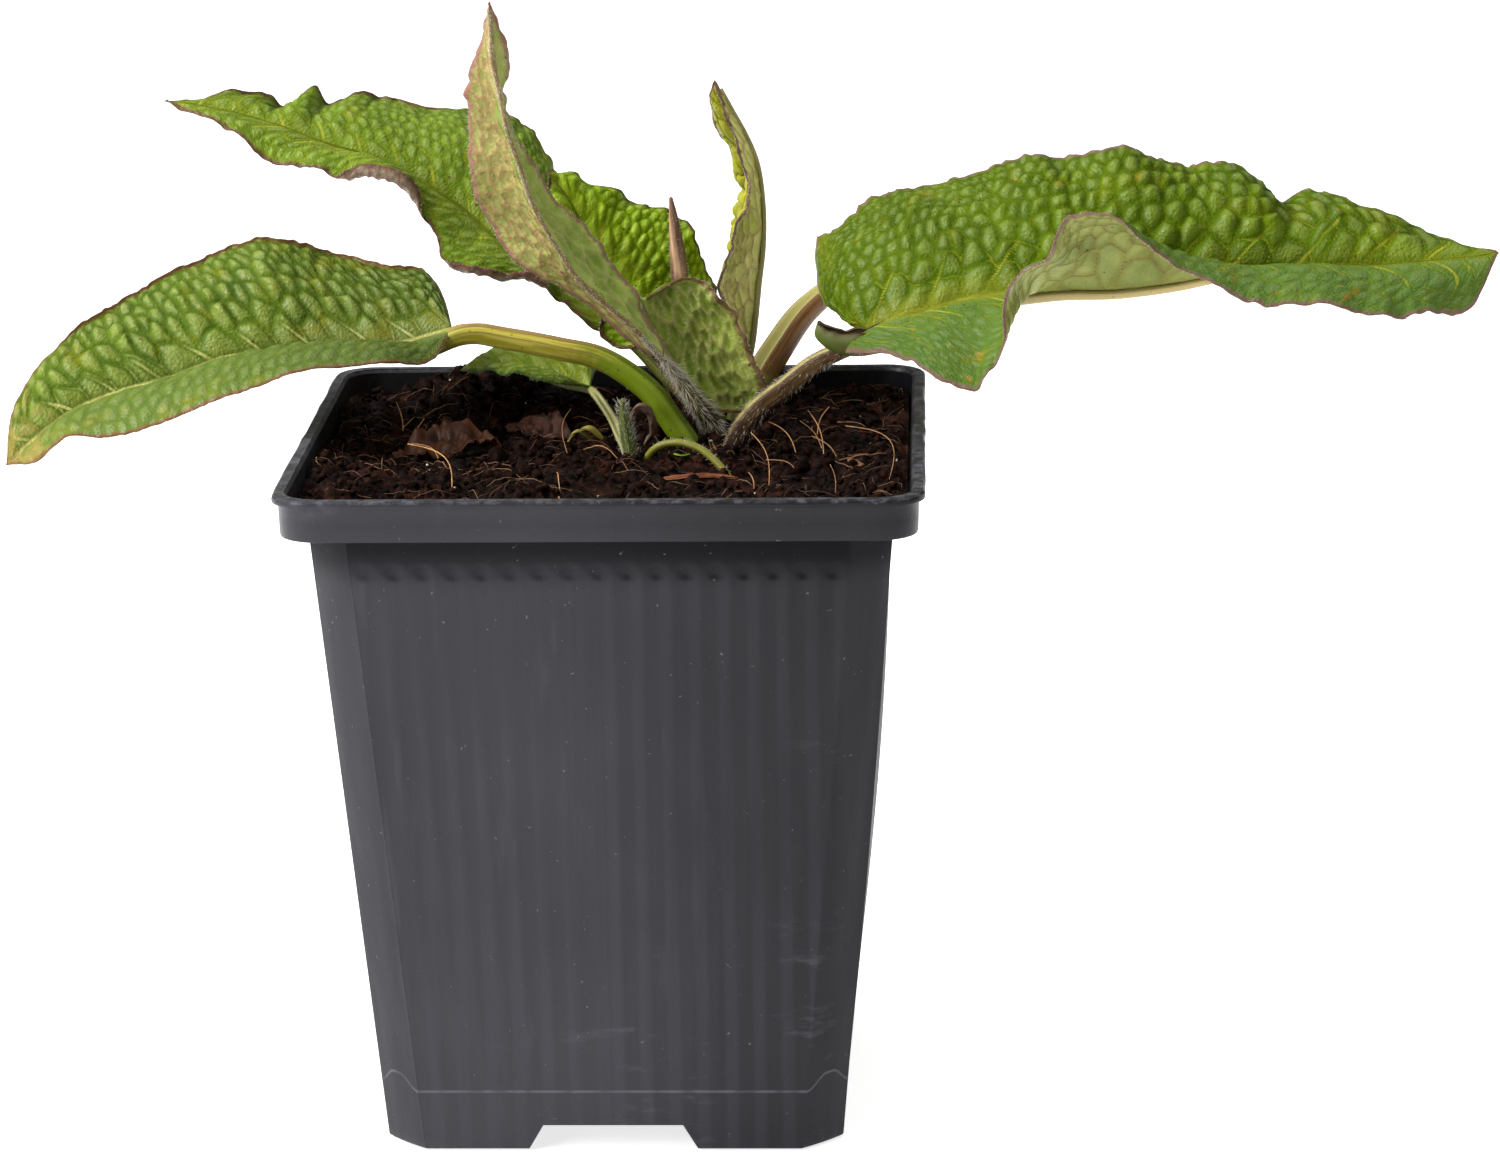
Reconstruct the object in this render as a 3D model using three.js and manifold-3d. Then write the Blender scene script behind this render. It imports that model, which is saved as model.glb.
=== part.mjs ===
// Potted comfrey: a square nursery pot filled with soil, one young plant and what lies around it.
// Units are millimetres, +Z is up, and the origin is the middle of the plane the pot stands on.
import * as THREE from 'three';
import Module from 'manifold-3d';

const wasm = await Module();
wasm.setup();

// Pot sizes
const POT_HEIGHT = 120;
const LIP_HALF = 55;
const LIP_HEIGHT = 1.3;
const LIP_CORNER = 7;
const BAND_HALF = 53.7;
const BAND_HEIGHT = 7.5;
const BODY_TOP_HALF = 49.5;
const BASE_HALF = 40;
const CHAMFER = 7;
const WALL = 1.3;
const LEDGE = 0.8;
const SEAM_HEIGHT = 11;
const FLUTES = 17;
const FLUTE_DEPTH = 0.35;
const FLUTE_FOOT = 14;
const FLUTE_TOP = 105;
const WALL_BOW = 1.4;
const FOOT_HEIGHT = 4.6;
const CHANNEL_HALF_TOP = 12.2;
const CHANNEL_HALF_BOTTOM = 14.8;
const PAD_RADIUS = 9;
const DRAIN_RADIUS = 3.5;
const DRAIN_REACH = 24;
const CORNER_STEPS = 3;

// Clear space kept between neighbouring pieces, and how much deeper a hole is than what stands in it
const GAP = 0.35;
const HOLE_DEPTH = 1.2;

// Soil sizes
const SOIL_LEVEL = 113;
const SOIL_CELLS = 18;
const SOIL_ROUGHNESS = 1.6;
const SOIL_EDGE_RISE = 1.7;
const SOIL_LUMP = 9;
// Heaps on the soil: x, y, height, radius
const SOIL_HEAPS = [
  [-24, 42, 7, 13],
  [12, 20, 1.5, 16],
  [-40, -20, 1.5, 14],
];

// Leaf sizes
const BLADE_THICKNESS = 0.8;
const BLADE_ROWS = 18;
const BLADE_COLUMNS = 8;
const VEIN_SWEEP = 0.35;
const VEIN_RELIEF = 0.3;
const HALF_BULGE = 0.1;
const RIB_STEP = 7;
const RIB_TIP_RADIUS = 0.45;
const EMBED = 0.6;

// Each leaf has a stalk and a midrib, as points from the crown to the tip. A row of a margin holds a
// place along the midrib, the half-width there and the lift of that half in degrees. Left and right
// are as seen from the upper side with the tip ahead, and face points out of the upper side.
const LEAVES = {
  leaf_low_left: {
    face: [0, 0, 1],
    stalk: [[14, 14, 108], [13, 14, 113], [10, 15, 117], [6, 16, 122], [2, 17, 125], [-3, 18, 128],
      [-11, 18, 130], [-20, 19, 132]],
    rib: [[-30, 19, 134], [-39, 18, 132], [-51, 17, 132], [-61, 16, 131], [-71, 14, 130],
      [-80, 12, 127], [-89, 10, 125], [-97, 8, 122], [-103, 6, 118], [-109, 4, 113]],
    left: [[5, 10, -15], [11, 17, 0], [20, 20, 0], [31, 22, 0], [41, 22, -5], [50, 21, -5],
      [58, 20, -10], [66, 17, -10], [74, 12, 0], [81, 7, -10]],
    right: [[1, 10, 25], [2, 17, 25], [11, 20, 30], [20, 23, 30], [30, 25, 40], [39, 25, 35],
      [49, 22, 35], [61, 18, 35], [70, 13, 40], [79, 7, 40]],
    stalkRadius: 2.5,
    ribRadius: 1.4,
    wave: { height: 0.4, count: 6 },
    colour: 0x6f8f3f,
  },
  leaf_back_left: {
    face: [0, -0.3, 1],
    stalk: [[13, 39, 108], [14, 39, 112], [12, 40, 116], [8, 41, 120], [4, 42, 124]],
    rib: [[-1, 43, 129], [-9, 45, 135], [-16, 47, 140], [-24, 49, 145], [-30, 51, 150],
      [-36, 52, 154], [-45, 54, 159], [-55, 55, 162], [-66, 56, 166], [-78, 57, 169], [-86, 57, 170]],
    left: [[3, 3, -30], [12, 4, 5], [21, 7.5, 0], [27, 10.5, -5], [32, 11.5, -15], [38, 9, -10],
      [43, 7.5, 0], [48, 9, 15], [59, 8.5, 10], [62, 11.5, -15], [68, 9.5, -20], [76, 8, -25],
      [84, 5.5, -10]],
    right: [[13, 12, 0], [20, 18, 5], [32, 24, 5], [38, 26.5, 10], [50, 24.5, 5], [54, 21, 0],
      [59, 19, 5], [66, 16.5, 5], [70, 13, -5], [73, 12.5, 5], [77, 8, -10], [80, 7.5, 5],
      [87, 3.5, 5]],
    stalkRadius: 1.8,
    ribRadius: 1.2,
    wave: { height: 0.9, count: 6 },
    colour: 0x6f9a38,
  },
  leaf_tall: {
    face: [0.2, 1, 0],
    stalk: [[19, 21, 108], [17, 20, 114], [16, 20, 117], [14, 18, 120], [11, 17, 125]],
    rib: [[8, 16, 129], [4, 15, 134], [-1, 14, 139], [-6, 12, 144], [-11, 11, 152], [-14, 10, 158],
      [-16, 8, 165], [-18, 6, 172], [-19, 4, 179], [-20, 2, 185], [-20, 0, 191], [-20, -2, 196]],
    left: [[1, 3, 75], [5, 5, 85], [11, 8, 70], [17, 11, 70], [27, 13, 80], [33, 13, 90],
      [40, 12, 100], [48, 9, 100], [57, 7, 105], [63, 5, 70], [70, 3, 65]],
    right: [[2, 3, 45], [10, 6, 50], [17, 8, 55], [26, 11, 35], [33, 14, 35], [38, 14, 30],
      [46, 13, 35], [54, 11, 35], [62, 8, 40], [67, 5, 45], [73, 3, 50]],
    stalkRadius: 2.1,
    ribRadius: 1.5,
    wave: { height: 0.4, count: 5 },
    colour: 0x8fa35c,
  },
  leaf_back_centre: {
    face: [0, -1, 0.3],
    stalk: [[17, 34, 108], [17, 34, 111], [17, 34, 114], [14, 34, 117]],
    rib: [[11, 35, 122], [7, 36, 128], [2, 37, 135], [-3, 38, 142], [-7, 39, 148], [-10, 40, 154],
      [-14, 41, 159]],
    left: [[3, 3, 50], [8, 5, 50], [10, 7, 30], [15, 8.5, 25], [19, 7, 30], [27, 5.5, 30],
      [34, 4, 25], [41, 3, 20]],
    right: [[2, 5.5, -10], [7, 11, -10], [13, 15.5, -15], [19, 17, -15], [23, 17.5, -20],
      [27, 16.5, -25], [30, 13.5, -30], [34, 12, -35], [36, 11.5, -35], [39, 7.5, -45],
      [42, 5.5, -45]],
    stalkRadius: 1.5,
    ribRadius: 1,
    wave: { height: 0.6, count: 5 },
    colour: 0x6c9a2c,
  },
  leaf_young: {
    face: [0.3, 1, 0],
    stalk: [[18, 26, 108], [17, 26, 112], [16, 26, 115]],
    rib: [[15, 26, 118], [12, 26, 122], [9, 27, 127], [6, 27, 132], [4, 27, 136], [3, 27, 139]],
    left: [[-3, 3, 15], [1, 9, 15], [7, 13, 15], [13, 14, 15], [18, 13, 20], [23, 11.5, 25],
      [24, 9.5, 30], [24, 6, 30], [23, 3, 35]],
    right: [[3, 2, 15], [9, 3, 10], [15, 2.5, 5], [20, 2, 15]],
    stalkRadius: 1.2,
    ribRadius: 0.8,
    wave: { height: 0.4, count: 4 },
    colour: 0x7d944c,
    rows: 12,
  },
  leaf_narrow: {
    face: [-1, 0, 0.15],
    stalk: [[21, 31, 108], [20, 31, 112], [20, 32, 116], [21, 33, 119]],
    rib: [[22, 34, 124], [23, 36, 130], [24, 38, 138], [25, 39, 146], [25, 40, 154], [24, 40, 161],
      [22, 40, 166], [20, 39, 170], [17, 38, 176]],
    left: [[6, 6.5, 15], [14, 10, 20], [20, 11.5, 25], [29, 10.5, 25], [32, 8.5, 20], [34, 8, 30],
      [41, 6.5, 40], [47, 5.5, 55], [52, 3, 60]],
    right: [[3, 4, 40], [9, 7.5, 40], [15, 10.5, 40], [22, 10.5, 30], [28, 8.5, 25], [34, 6.5, 15],
      [38, 4.5, 30], [44, 3.5, 25], [50, 2, 20]],
    stalkRadius: 2,
    ribRadius: 1.2,
    wave: { height: 0.4, count: 5 },
    colour: 0x93a04f,
    rows: 14,
  },
  leaf_large_right: {
    face: [0, 0, 1],
    stalk: [[20, 10, 108], [20, 10, 112], [21, 9, 116], [25, 8, 122], [30, 8, 126], [35, 8, 130],
      [41, 7, 133]],
    rib: [[46, 7, 135], [49, 6, 138], [56, 6, 140], [63, 6, 142], [70, 5, 143], [79, 4, 144],
      [88, 4, 144], [98, 4, 145], [108, 3, 147], [120, 3, 148], [133, 3, 148], [145, 3, 149],
      [155, 3, 150]],
    left: [[-10, 19, 20], [-10, 26, 30], [-1, 29, 40], [6, 30, 35], [16, 30, 35], [21, 29, 40],
      [28, 29, 45], [35, 28, 45], [48, 27, 55], [59, 25, 45], [69, 23, 40], [75, 20, 25],
      [80, 19, 35], [91, 15, 30], [100, 11, 15], [107, 5, 5]],
    right: [[4, 12, -25], [10, 22, -20], [14, 25, -25], [25, 24, -20], [27, 22, -10], [27, 20, 0],
      [30, 20, 20], [34, 21, 25], [36, 23, 40], [41, 24, 45], [48, 23, 35], [56, 20, 20],
      [62, 19, 5], [68, 19, -5], [77, 19, -10], [89, 17, -20], [97, 14, -30], [106, 9, -55]],
    stalkRadius: 2.3,
    ribRadius: 1.5,
    wave: { height: 0.5, count: 6 },
    colour: 0x6d9440,
    rows: 24,
  },
  leaf_back_right: {
    face: [0, 0, 1],
    stalk: [[22, 38, 108], [21, 39, 112], [22, 41, 115], [24, 44, 119], [28, 48, 125], [32, 52, 130],
      [36, 56, 133]],
    rib: [[41, 60, 136], [50, 66, 138], [60, 72, 139], [69, 78, 139], [79, 83, 139], [87, 88, 139]],
    left: [[2, 8, 0], [12, 16, 0], [24, 16, 5], [33, 14.5, 10], [42, 12.5, 10], [51, 6.5, 5]],
    right: [[-6, 13.5, 5], [5, 15.5, 0], [18, 13.5, 0], [31, 10.5, -5], [45, 4, -15]],
    stalkRadius: 2.1,
    ribRadius: 1.3,
    wave: { height: 0.9, count: 5 },
    colour: 0x6d9440,
    rows: 14,
  },
  leaf_small: {
    face: [0, -0.2, 1],
    stalk: [[2, 6, 108], [2, 6, 113], [0, 13, 116], [-2, 20, 118], [-5, 25, 121]],
    rib: [[-6, 29, 122], [-11, 31, 124], [-16, 32, 126], [-22, 32, 127], [-26, 32, 127],
      [-30, 32, 126]],
    left: [[2, 3, 20], [5, 7, 15], [8, 8.5, 15], [15, 8, 10], [20, 4, 10]],
    right: [[3, 9, 5], [8, 13.5, 0], [12, 16, -5], [16, 14, -5], [21, 8, -10]],
    stalkRadius: 0.95,
    ribRadius: 0.8,
    wave: { height: 0.3, count: 4 },
    colour: 0x6c9448,
    rows: 10,
  },
};

// Small growing pieces, each a route with a radius at every point
const SHOOTS = {
  leaf_spear: {
    route: [[13, 30, 108], [12.5, 30.5, 116], [11.5, 31, 124], [10.5, 32, 133], [10.5, 32, 140],
      [10, 32, 146], [9.5, 32, 151], [9, 32, 155.5]],
    radii: [1, 1, 1.1, 1.3, 1.5, 1.3, 0.9, 0.35],
    colour: 0x6b5048,
  },
  shoot_hairy: {
    route: [[3.5, 2, 108], [3, 2.5, 113], [2.2, 3, 117], [1.6, 3.4, 121], [1.3, 3.6, 124.5]],
    radii: [0.9, 1.1, 1.2, 0.9, 0.35],
    colour: 0x6f8560,
  },
  stalk_arched: {
    route: [[4.5, -0.8, 109], [5, -0.8, 113], [7, -1.5, 116.5], [11, -2.6, 118], [15, -4.4, 117.4],
      [18.5, -7, 115.2], [21.5, -10, 112.4]],
    radii: [0.6, 0.65, 0.7, 0.7, 0.7, 0.65, 0.5],
    colour: 0x8f9a3c,
  },
};

// Roots: a route with the radius at its start and its end. The last one shows above the soil.
const ROOT_HEAD = { centre: [18, 24, 100], radii: [8, 17, 7] };
const ROOTS = [
  { route: [[18, 22, 98], [15, 17, 74], [9, 10, 44], [4, 4, 16]], radii: [5, 1.2] },
  { route: [[17, 18, 88], [4, 2, 74], [-16, -14, 58], [-28, -24, 34]], radii: [1.8, 0.7] },
  { route: [[16, 20, 84], [26, 20, 66], [32, 6, 44], [30, -10, 24]], radii: [1.7, 0.7] },
  { route: [[15, 19, 80], [2, 34, 62], [-18, 34, 42], [-26, 28, 22]], radii: [1.6, 0.7] },
  { route: [[22, 16, 101], [30, 9, 104], [36, 4, 110], [40, 0, 113.4], [44, -8, 114], [45, -16, 112],
    [44, -20, 108]], radii: [1.4, 0.7] },
];

// Dry pieces lying on the soil: place and height over the soil, turn about Z, tip, sizes and colour
const LITTER = {
  dry_leaf_large: {
    at: [-31, 8], over: 1.2, turn: 15, tip: [12, -10], length: 21, width: 11, bend: 2.4,
    colour: 0x4a3328,
  },
  dry_leaf_small: {
    at: [-15, 19], over: 1.2, turn: -28, tip: [-14, 8], length: 13, width: 8, bend: 1.6,
    colour: 0x53382a,
  },
  bark_sliver: {
    at: [15, -14], over: 0.9, turn: 6, tip: [4, 0], length: 15, width: 2.4, bend: 0.5,
    colour: 0x8a4f2c,
  },
};
const LITTER_THICKNESS = 0.8;

const radians = THREE.MathUtils.degToRad;
const lerp = THREE.MathUtils.lerp;
const vector = (point) => new THREE.Vector3(...point);

// Solids

function solid(points, triangles) {
  const mesh = new wasm.Mesh({
    numProp: 3,
    vertProperties: new Float32Array(points.flatMap((point) => point.toArray())),
    triVerts: new Uint32Array(triangles.flat()),
  });
  return new wasm.Manifold(mesh);
}

const middleOf = (ring) => ring.reduce((sum, point) => sum.add(point), new THREE.Vector3())
  .divideScalar(ring.length);

// Joins rings of points, each turning left about the way to the next, and closes both ends
function loft(rings) {
  const count = rings[0].length;
  const points = rings.flat();
  const triangles = [];
  for (let ring = 0; ring + 1 < rings.length; ring++) {
    for (let k = 0; k < count; k++) {
      const here = ring * count + k;
      const next = ring * count + ((k + 1) % count);
      triangles.push([here, next, next + count], [here, next + count, here + count]);
    }
  }
  const last = (rings.length - 1) * count;
  points.push(middleOf(rings[0]), middleOf(rings[rings.length - 1]));
  for (let k = 0; k < count; k++) {
    const next = (k + 1) % count;
    triangles.push([points.length - 2, next, k], [points.length - 1, last + k, last + next]);
  }
  return solid(points, triangles);
}

// The same rings with one more past each end
function lengthened(rings, reach) {
  const shifted = (ring, neighbour) => {
    const away = middleOf(ring).sub(middleOf(neighbour)).setLength(reach);
    return ring.map((point) => point.clone().add(away));
  };
  const last = rings.length - 1;
  return [shifted(rings[0], rings[1]), ...rings, shifted(rings[last], rings[last - 1])];
}

// A straight drum between two heights
function drum(x, y, bottom, top, radius, sides) {
  const ring = (z) => Array.from({ length: sides }, (_, k) => {
    const angle = (2 * Math.PI * k) / sides;
    return new THREE.Vector3(x + radius * Math.cos(angle), y + radius * Math.sin(angle), z);
  });
  return loft([ring(bottom), ring(top)]);
}

function ball(centre, radii, rows, sides) {
  const rings = [];
  for (let row = 0; row <= rows; row++) {
    const polar = Math.PI * lerp(0.06, 0.94, row / rows);
    rings.push(Array.from({ length: sides }, (_, k) => {
      const angle = (2 * Math.PI * k) / sides;
      return new THREE.Vector3(
        centre[0] + radii[0] * Math.sin(polar) * Math.cos(angle),
        centre[1] + radii[1] * Math.sin(polar) * Math.sin(angle),
        centre[2] - radii[2] * Math.cos(polar),
      );
    }));
  }
  return loft(rings);
}

// Curves

// A smooth track through points, each with its own knot
class Track {
  constructor(knots, points) {
    this.knots = knots;
    this.points = points;
    const slope = (i) => points[i + 1].clone().sub(points[i]).divideScalar(knots[i + 1] - knots[i]);
    this.slopes = points.map((_, i) => {
      if (i === 0) return slope(0);
      if (i === points.length - 1) return slope(i - 1);
      const before = knots[i] - knots[i - 1];
      const after = knots[i + 1] - knots[i];
      return slope(i).multiplyScalar(before).add(slope(i - 1).multiplyScalar(after))
        .divideScalar(before + after);
    });
  }

  at(knot) {
    const { knots, points, slopes } = this;
    const t = THREE.MathUtils.clamp(knot, knots[0], knots[knots.length - 1]);
    let i = 0;
    while (i < knots.length - 2 && t >= knots[i + 1]) i++;
    const span = knots[i + 1] - knots[i];
    const s = (t - knots[i]) / span;
    return new THREE.Vector3()
      .addScaledVector(points[i], 2 * s ** 3 - 3 * s ** 2 + 1)
      .addScaledVector(slopes[i], (s ** 3 - 2 * s ** 2 + s) * span)
      .addScaledVector(points[i + 1], 3 * s ** 2 - 2 * s ** 3)
      .addScaledVector(slopes[i + 1], (s ** 3 - s ** 2) * span);
  }

  get end() {
    return this.knots[this.knots.length - 1];
  }
}

function lengthsAlong(points) {
  const lengths = [0];
  for (let i = 1; i < points.length; i++) {
    lengths.push(lengths[i - 1] + points[i].distanceTo(points[i - 1]));
  }
  return lengths;
}

function trackThrough(route) {
  const points = route.map(vector);
  return new Track(lengthsAlong(points), points);
}

// A round tube along a route, with its own radius at each point. A tube grown for a hole is longer
// too.
function tube(route, radii, sides, step, grow = 0) {
  const track = trackThrough(route);
  const radius = new Track(track.knots, radii.map((r) => new THREE.Vector3(r + grow, 0, 0)));
  const count = Math.max(2, Math.round(track.end / step));
  let side = new THREE.Vector3(1, 0.2, 0);
  const rings = [];
  for (let i = 0; i <= count; i++) {
    const place = (track.end * i) / count;
    const along = track.at(place + 0.5).sub(track.at(place - 0.5)).normalize();
    side = side.clone().addScaledVector(along, -side.dot(along)).normalize();
    const up = along.clone().cross(side);
    const centre = track.at(place);
    const size = radius.at(place).x;
    rings.push(Array.from({ length: sides }, (_, k) => {
      const angle = (2 * Math.PI * k) / sides;
      return centre.clone().addScaledVector(side, size * Math.cos(angle))
        .addScaledVector(up, size * Math.sin(angle));
    }));
  }
  return loft(grow > 0 ? lengthened(rings, HOLE_DEPTH) : rings);
}

// Leaves

// The centreline of a leaf, with the side and the upper side at each place; the blade starts at 0
class Spine {
  constructor(leaf) {
    const points = [...leaf.stalk, ...leaf.rib].map(vector);
    const lengths = lengthsAlong(points);
    const start = lengths[leaf.stalk.length];
    this.track = new Track(lengths.map((length) => length - start), points);
    this.face = vector(leaf.face);
    this.length = this.track.end;
    this.start = -start;
  }

  along(place) {
    return this.track.at(place + 0.5).sub(this.track.at(place - 0.5)).normalize();
  }

  frame(place) {
    const steps = Math.max(0, Math.ceil(-place));
    const first = this.along(Math.max(place, 0));
    const side = this.face.clone().cross(first).normalize();
    for (let k = 1; k <= steps; k++) {
      const along = this.along((place * k) / steps);
      side.addScaledVector(along, -side.dot(along)).normalize();
    }
    const along = this.along(place);
    return { along, side, up: along.clone().cross(side) };
  }

  // The point at a half-width and lift to one side: 1 is left and -1 is right
  beside(place, sign, width, lift) {
    const { side, up } = this.frame(place);
    return this.track.at(place)
      .addScaledVector(side, sign * width * Math.cos(radians(lift)))
      .addScaledVector(up, width * Math.sin(radians(lift)));
  }
}

// A margin shares its knots between distance along the midrib and distance along itself
function marginTrack(spine, rows, sign) {
  const places = [0, ...rows.map((row) => row[0]), spine.length];
  const points = [
    spine.track.at(0),
    ...rows.map(([place, width, lift]) => spine.beside(place, sign, width, lift)),
    spine.track.at(spine.length),
  ];
  const lengths = lengthsAlong(points);
  const whole = lengths[lengths.length - 1];
  const knots = lengths.map((length, i) => 0.5 * (length / whole) + 0.5 * (places[i] / spine.length));
  return new Track(knots, points);
}

// The middle surface of a blade: u runs from base to tip, v from the right margin to the left one
function bladeSurface(leaf, spine, rows) {
  const margins = {
    '-1': marginTrack(spine, leaf.right, -1),
    1: marginTrack(spine, leaf.left, 1),
  };
  return (u, v) => {
    const sign = v < 0 ? -1 : 1;
    const q = Math.abs(v);
    const a = THREE.MathUtils.clamp(u + VEIN_SWEEP * q * u * (1 - u), 0, 1);
    const root = spine.track.at(a * spine.length);
    const across = margins[sign].at(a).sub(root);
    const { along } = spine.frame(a * spine.length);
    const out = along.clone().cross(across).multiplyScalar(sign).normalize();
    const ends = Math.sin(Math.PI * Math.min(1, Math.max(0, a)));
    const bulge = HALF_BULGE * across.length() * Math.sin(Math.PI * q);
    const wave = leaf.wave.height * q * q * ends * Math.sin(2 * Math.PI * leaf.wave.count * a + sign);
    const relief = VEIN_RELIEF * Math.cos(Math.PI * rows * u) * Math.sin(Math.PI * q) * ends;
    return root.addScaledVector(across, q).addScaledVector(out, bulge + wave + relief);
  };
}

// A thin sheet over a surface that narrows to a point at both ends
function sheet(surface, rows, columns, thickness) {
  const last = (rows - 1) * (columns + 1) + 1;
  const index = (i, j) => (i === 0 ? 0 : i === rows ? last : 1 + (i - 1) * (columns + 1) + j);
  const top = [];
  const bottom = [];
  const nudge = 0.02;
  const place = (i, j) => {
    const u = i / rows;
    const v = (2 * j) / columns - 1;
    const uSafe = THREE.MathUtils.clamp(u, 0.04, 0.96);
    const alongU = surface(uSafe + nudge, v).sub(surface(uSafe - nudge, v));
    const alongV = surface(uSafe, Math.min(1, v + nudge)).sub(surface(uSafe, Math.max(-1, v - nudge)));
    const out = alongU.cross(alongV).normalize().multiplyScalar(thickness / 2);
    const middle = surface(u, v);
    top[index(i, j)] = middle.clone().add(out);
    bottom[index(i, j)] = middle.clone().sub(out);
  };
  place(0, columns / 2);
  for (let i = 1; i < rows; i++) {
    for (let j = 0; j <= columns; j++) place(i, j);
  }
  place(rows, columns / 2);
  const shift = last + 1;
  const triangles = [];
  const add = (a, b, c) => {
    if (a !== b && b !== c && c !== a) triangles.push([a, b, c]);
  };
  for (let i = 0; i < rows; i++) {
    for (let j = 0; j < columns; j++) {
      const corners = [index(i, j), index(i + 1, j), index(i + 1, j + 1), index(i, j + 1)];
      const [a, b, c, d] = corners;
      add(a, b, c);
      add(a, c, d);
      add(c + shift, b + shift, a + shift);
      add(d + shift, c + shift, a + shift);
    }
    const left = [index(i, columns), index(i + 1, columns)];
    add(left[0], left[1], left[1] + shift);
    add(left[0], left[1] + shift, left[0] + shift);
    const right = [index(i, 0), index(i + 1, 0)];
    add(right[1], right[0], right[0] + shift);
    add(right[1], right[0] + shift, right[1] + shift);
  }
  return solid([...top, ...bottom], triangles);
}

// Outline of a stalk, hollowed along its upper side; under the blade the hollow fills up
const stalkOutline = (fill) => [
  [1, 0.3], [0.6, 0.7], [0, lerp(0.25, 0.9, fill)], [-0.6, 0.7], [-1, 0.3], [-0.75, -0.6], [0, -1],
  [0.75, -0.6],
];

// Stalk and midrib in one: the midrib lies under the blade and thins to the tip
function stalkAndRib(leaf, spine, grow) {
  const count = Math.round((spine.length - spine.start) / RIB_STEP);
  const rings = [];
  for (let i = 0; i <= count; i++) {
    const place = lerp(spine.start, spine.length - 2, i / count);
    const { side, up } = spine.frame(place);
    const out = THREE.MathUtils.clamp(place / spine.length, 0, 1);
    const narrowing = THREE.MathUtils.clamp(1 - place / spine.start, 0, 1);
    const radius = place < 0
      ? lerp(leaf.stalkRadius, leaf.ribRadius, narrowing ** 2)
      : lerp(leaf.ribRadius, RIB_TIP_RADIUS, out ** 0.8);
    const sunk = radius * EMBED * THREE.MathUtils.smoothstep(place, -6, 6);
    const centre = spine.track.at(place).addScaledVector(up, -sunk);
    const fill = grow > 0 ? 1 : THREE.MathUtils.smoothstep(place, -8, -1);
    rings.push(stalkOutline(fill).map(([x, y]) => centre.clone()
      .addScaledVector(side, x * (radius + grow))
      .addScaledVector(up, y * (radius + grow))));
  }
  return loft(grow > 0 ? lengthened(rings, HOLE_DEPTH) : rings);
}

function leafSolid(leaf) {
  const spine = new Spine(leaf);
  const rows = leaf.rows ?? BLADE_ROWS;
  const blade = sheet(bladeSurface(leaf, spine, rows), rows, BLADE_COLUMNS, BLADE_THICKNESS);
  return blade.add(stalkAndRib(leaf, spine, 0));
}

// Pot

// How far the right wall bows out at a height and at a place across it
function bow(z, across, half) {
  const rise = THREE.MathUtils.clamp((z - FLUTE_FOOT) / (FLUTE_TOP - FLUTE_FOOT), 0, 1);
  return WALL_BOW * Math.sin(Math.PI * rise) * Math.max(0, 1 - (across / half) ** 2);
}

// A square ring with rounded or cut corners; its faces may carry flutes
function squareRing(half, z, { corner, cut = false, fluteDepth = null, bowed = false }) {
  const ring = [];
  const flat = half - corner;
  const faceSteps = fluteDepth === null ? 2 : 2 * FLUTES;
  for (let turn = 0; turn < 4; turn++) {
    const add = (out, across) => {
      const bulge = bowed && turn === 0 ? bow(z, across, half) : 0;
      const point = new THREE.Vector3(out + bulge, across, z);
      ring.push(point.applyAxisAngle(new THREE.Vector3(0, 0, 1), (turn * Math.PI) / 2));
    };
    for (let k = 0; k <= faceSteps; k++) {
      const groove = fluteDepth !== null && k % 2 === 1 ? fluteDepth : 0;
      add(half - groove, lerp(-flat, flat, k / faceSteps));
    }
    for (let k = 1; k < CORNER_STEPS; k++) {
      const t = k / CORNER_STEPS;
      const angle = (t * Math.PI) / 2;
      const out = cut ? half - corner * t : flat + corner * Math.cos(angle);
      const across = cut ? flat + corner * t : flat + corner * Math.sin(angle);
      add(out, across);
    }
  }
  return ring;
}

const bodyHalf = (z) => lerp(BASE_HALF, BODY_TOP_HALF, z / (POT_HEIGHT - BAND_HEIGHT));

// The room inside the pot, drawn in by a clearance for the soil
function potRoom(clearance) {
  const inset = WALL + clearance;
  const floor = FOOT_HEIGHT + WALL + clearance;
  const ledge = POT_HEIGHT - BAND_HEIGHT;
  const style = { corner: CHAMFER - 1, cut: true, bowed: true };
  const heights = [floor, FLUTE_FOOT, 40, 80, FLUTE_TOP, ledge + LEDGE + clearance];
  const rings = heights.map((z) => squareRing(bodyHalf(z) - FLUTE_DEPTH - inset, z, style));
  const round = { corner: LIP_CORNER - 1 };
  rings.push(squareRing(BAND_HALF - inset, ledge + LEDGE + 0.1 + clearance, round));
  rings.push(squareRing(BAND_HALF - inset, POT_HEIGHT + 5, round));
  let room = loft(rings);
  const inner = CHANNEL_HALF_BOTTOM + inset;
  const outer = BASE_HALF - FLUTE_DEPTH - inset;
  const pocket = [[inner, inner], [outer, inner], [outer, outer - CHAMFER], [outer - CHAMFER, outer],
    [inner, outer]];
  for (let turn = 0; turn < 4; turn++) {
    const ring = (z) => pocket.map(([x, y]) => new THREE.Vector3(x, y, z)
      .applyAxisAngle(new THREE.Vector3(0, 0, 1), (turn * Math.PI) / 2));
    room = room.add(loft([ring(WALL + clearance), ring(floor + 1)]));
  }
  return room;
}

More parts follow.
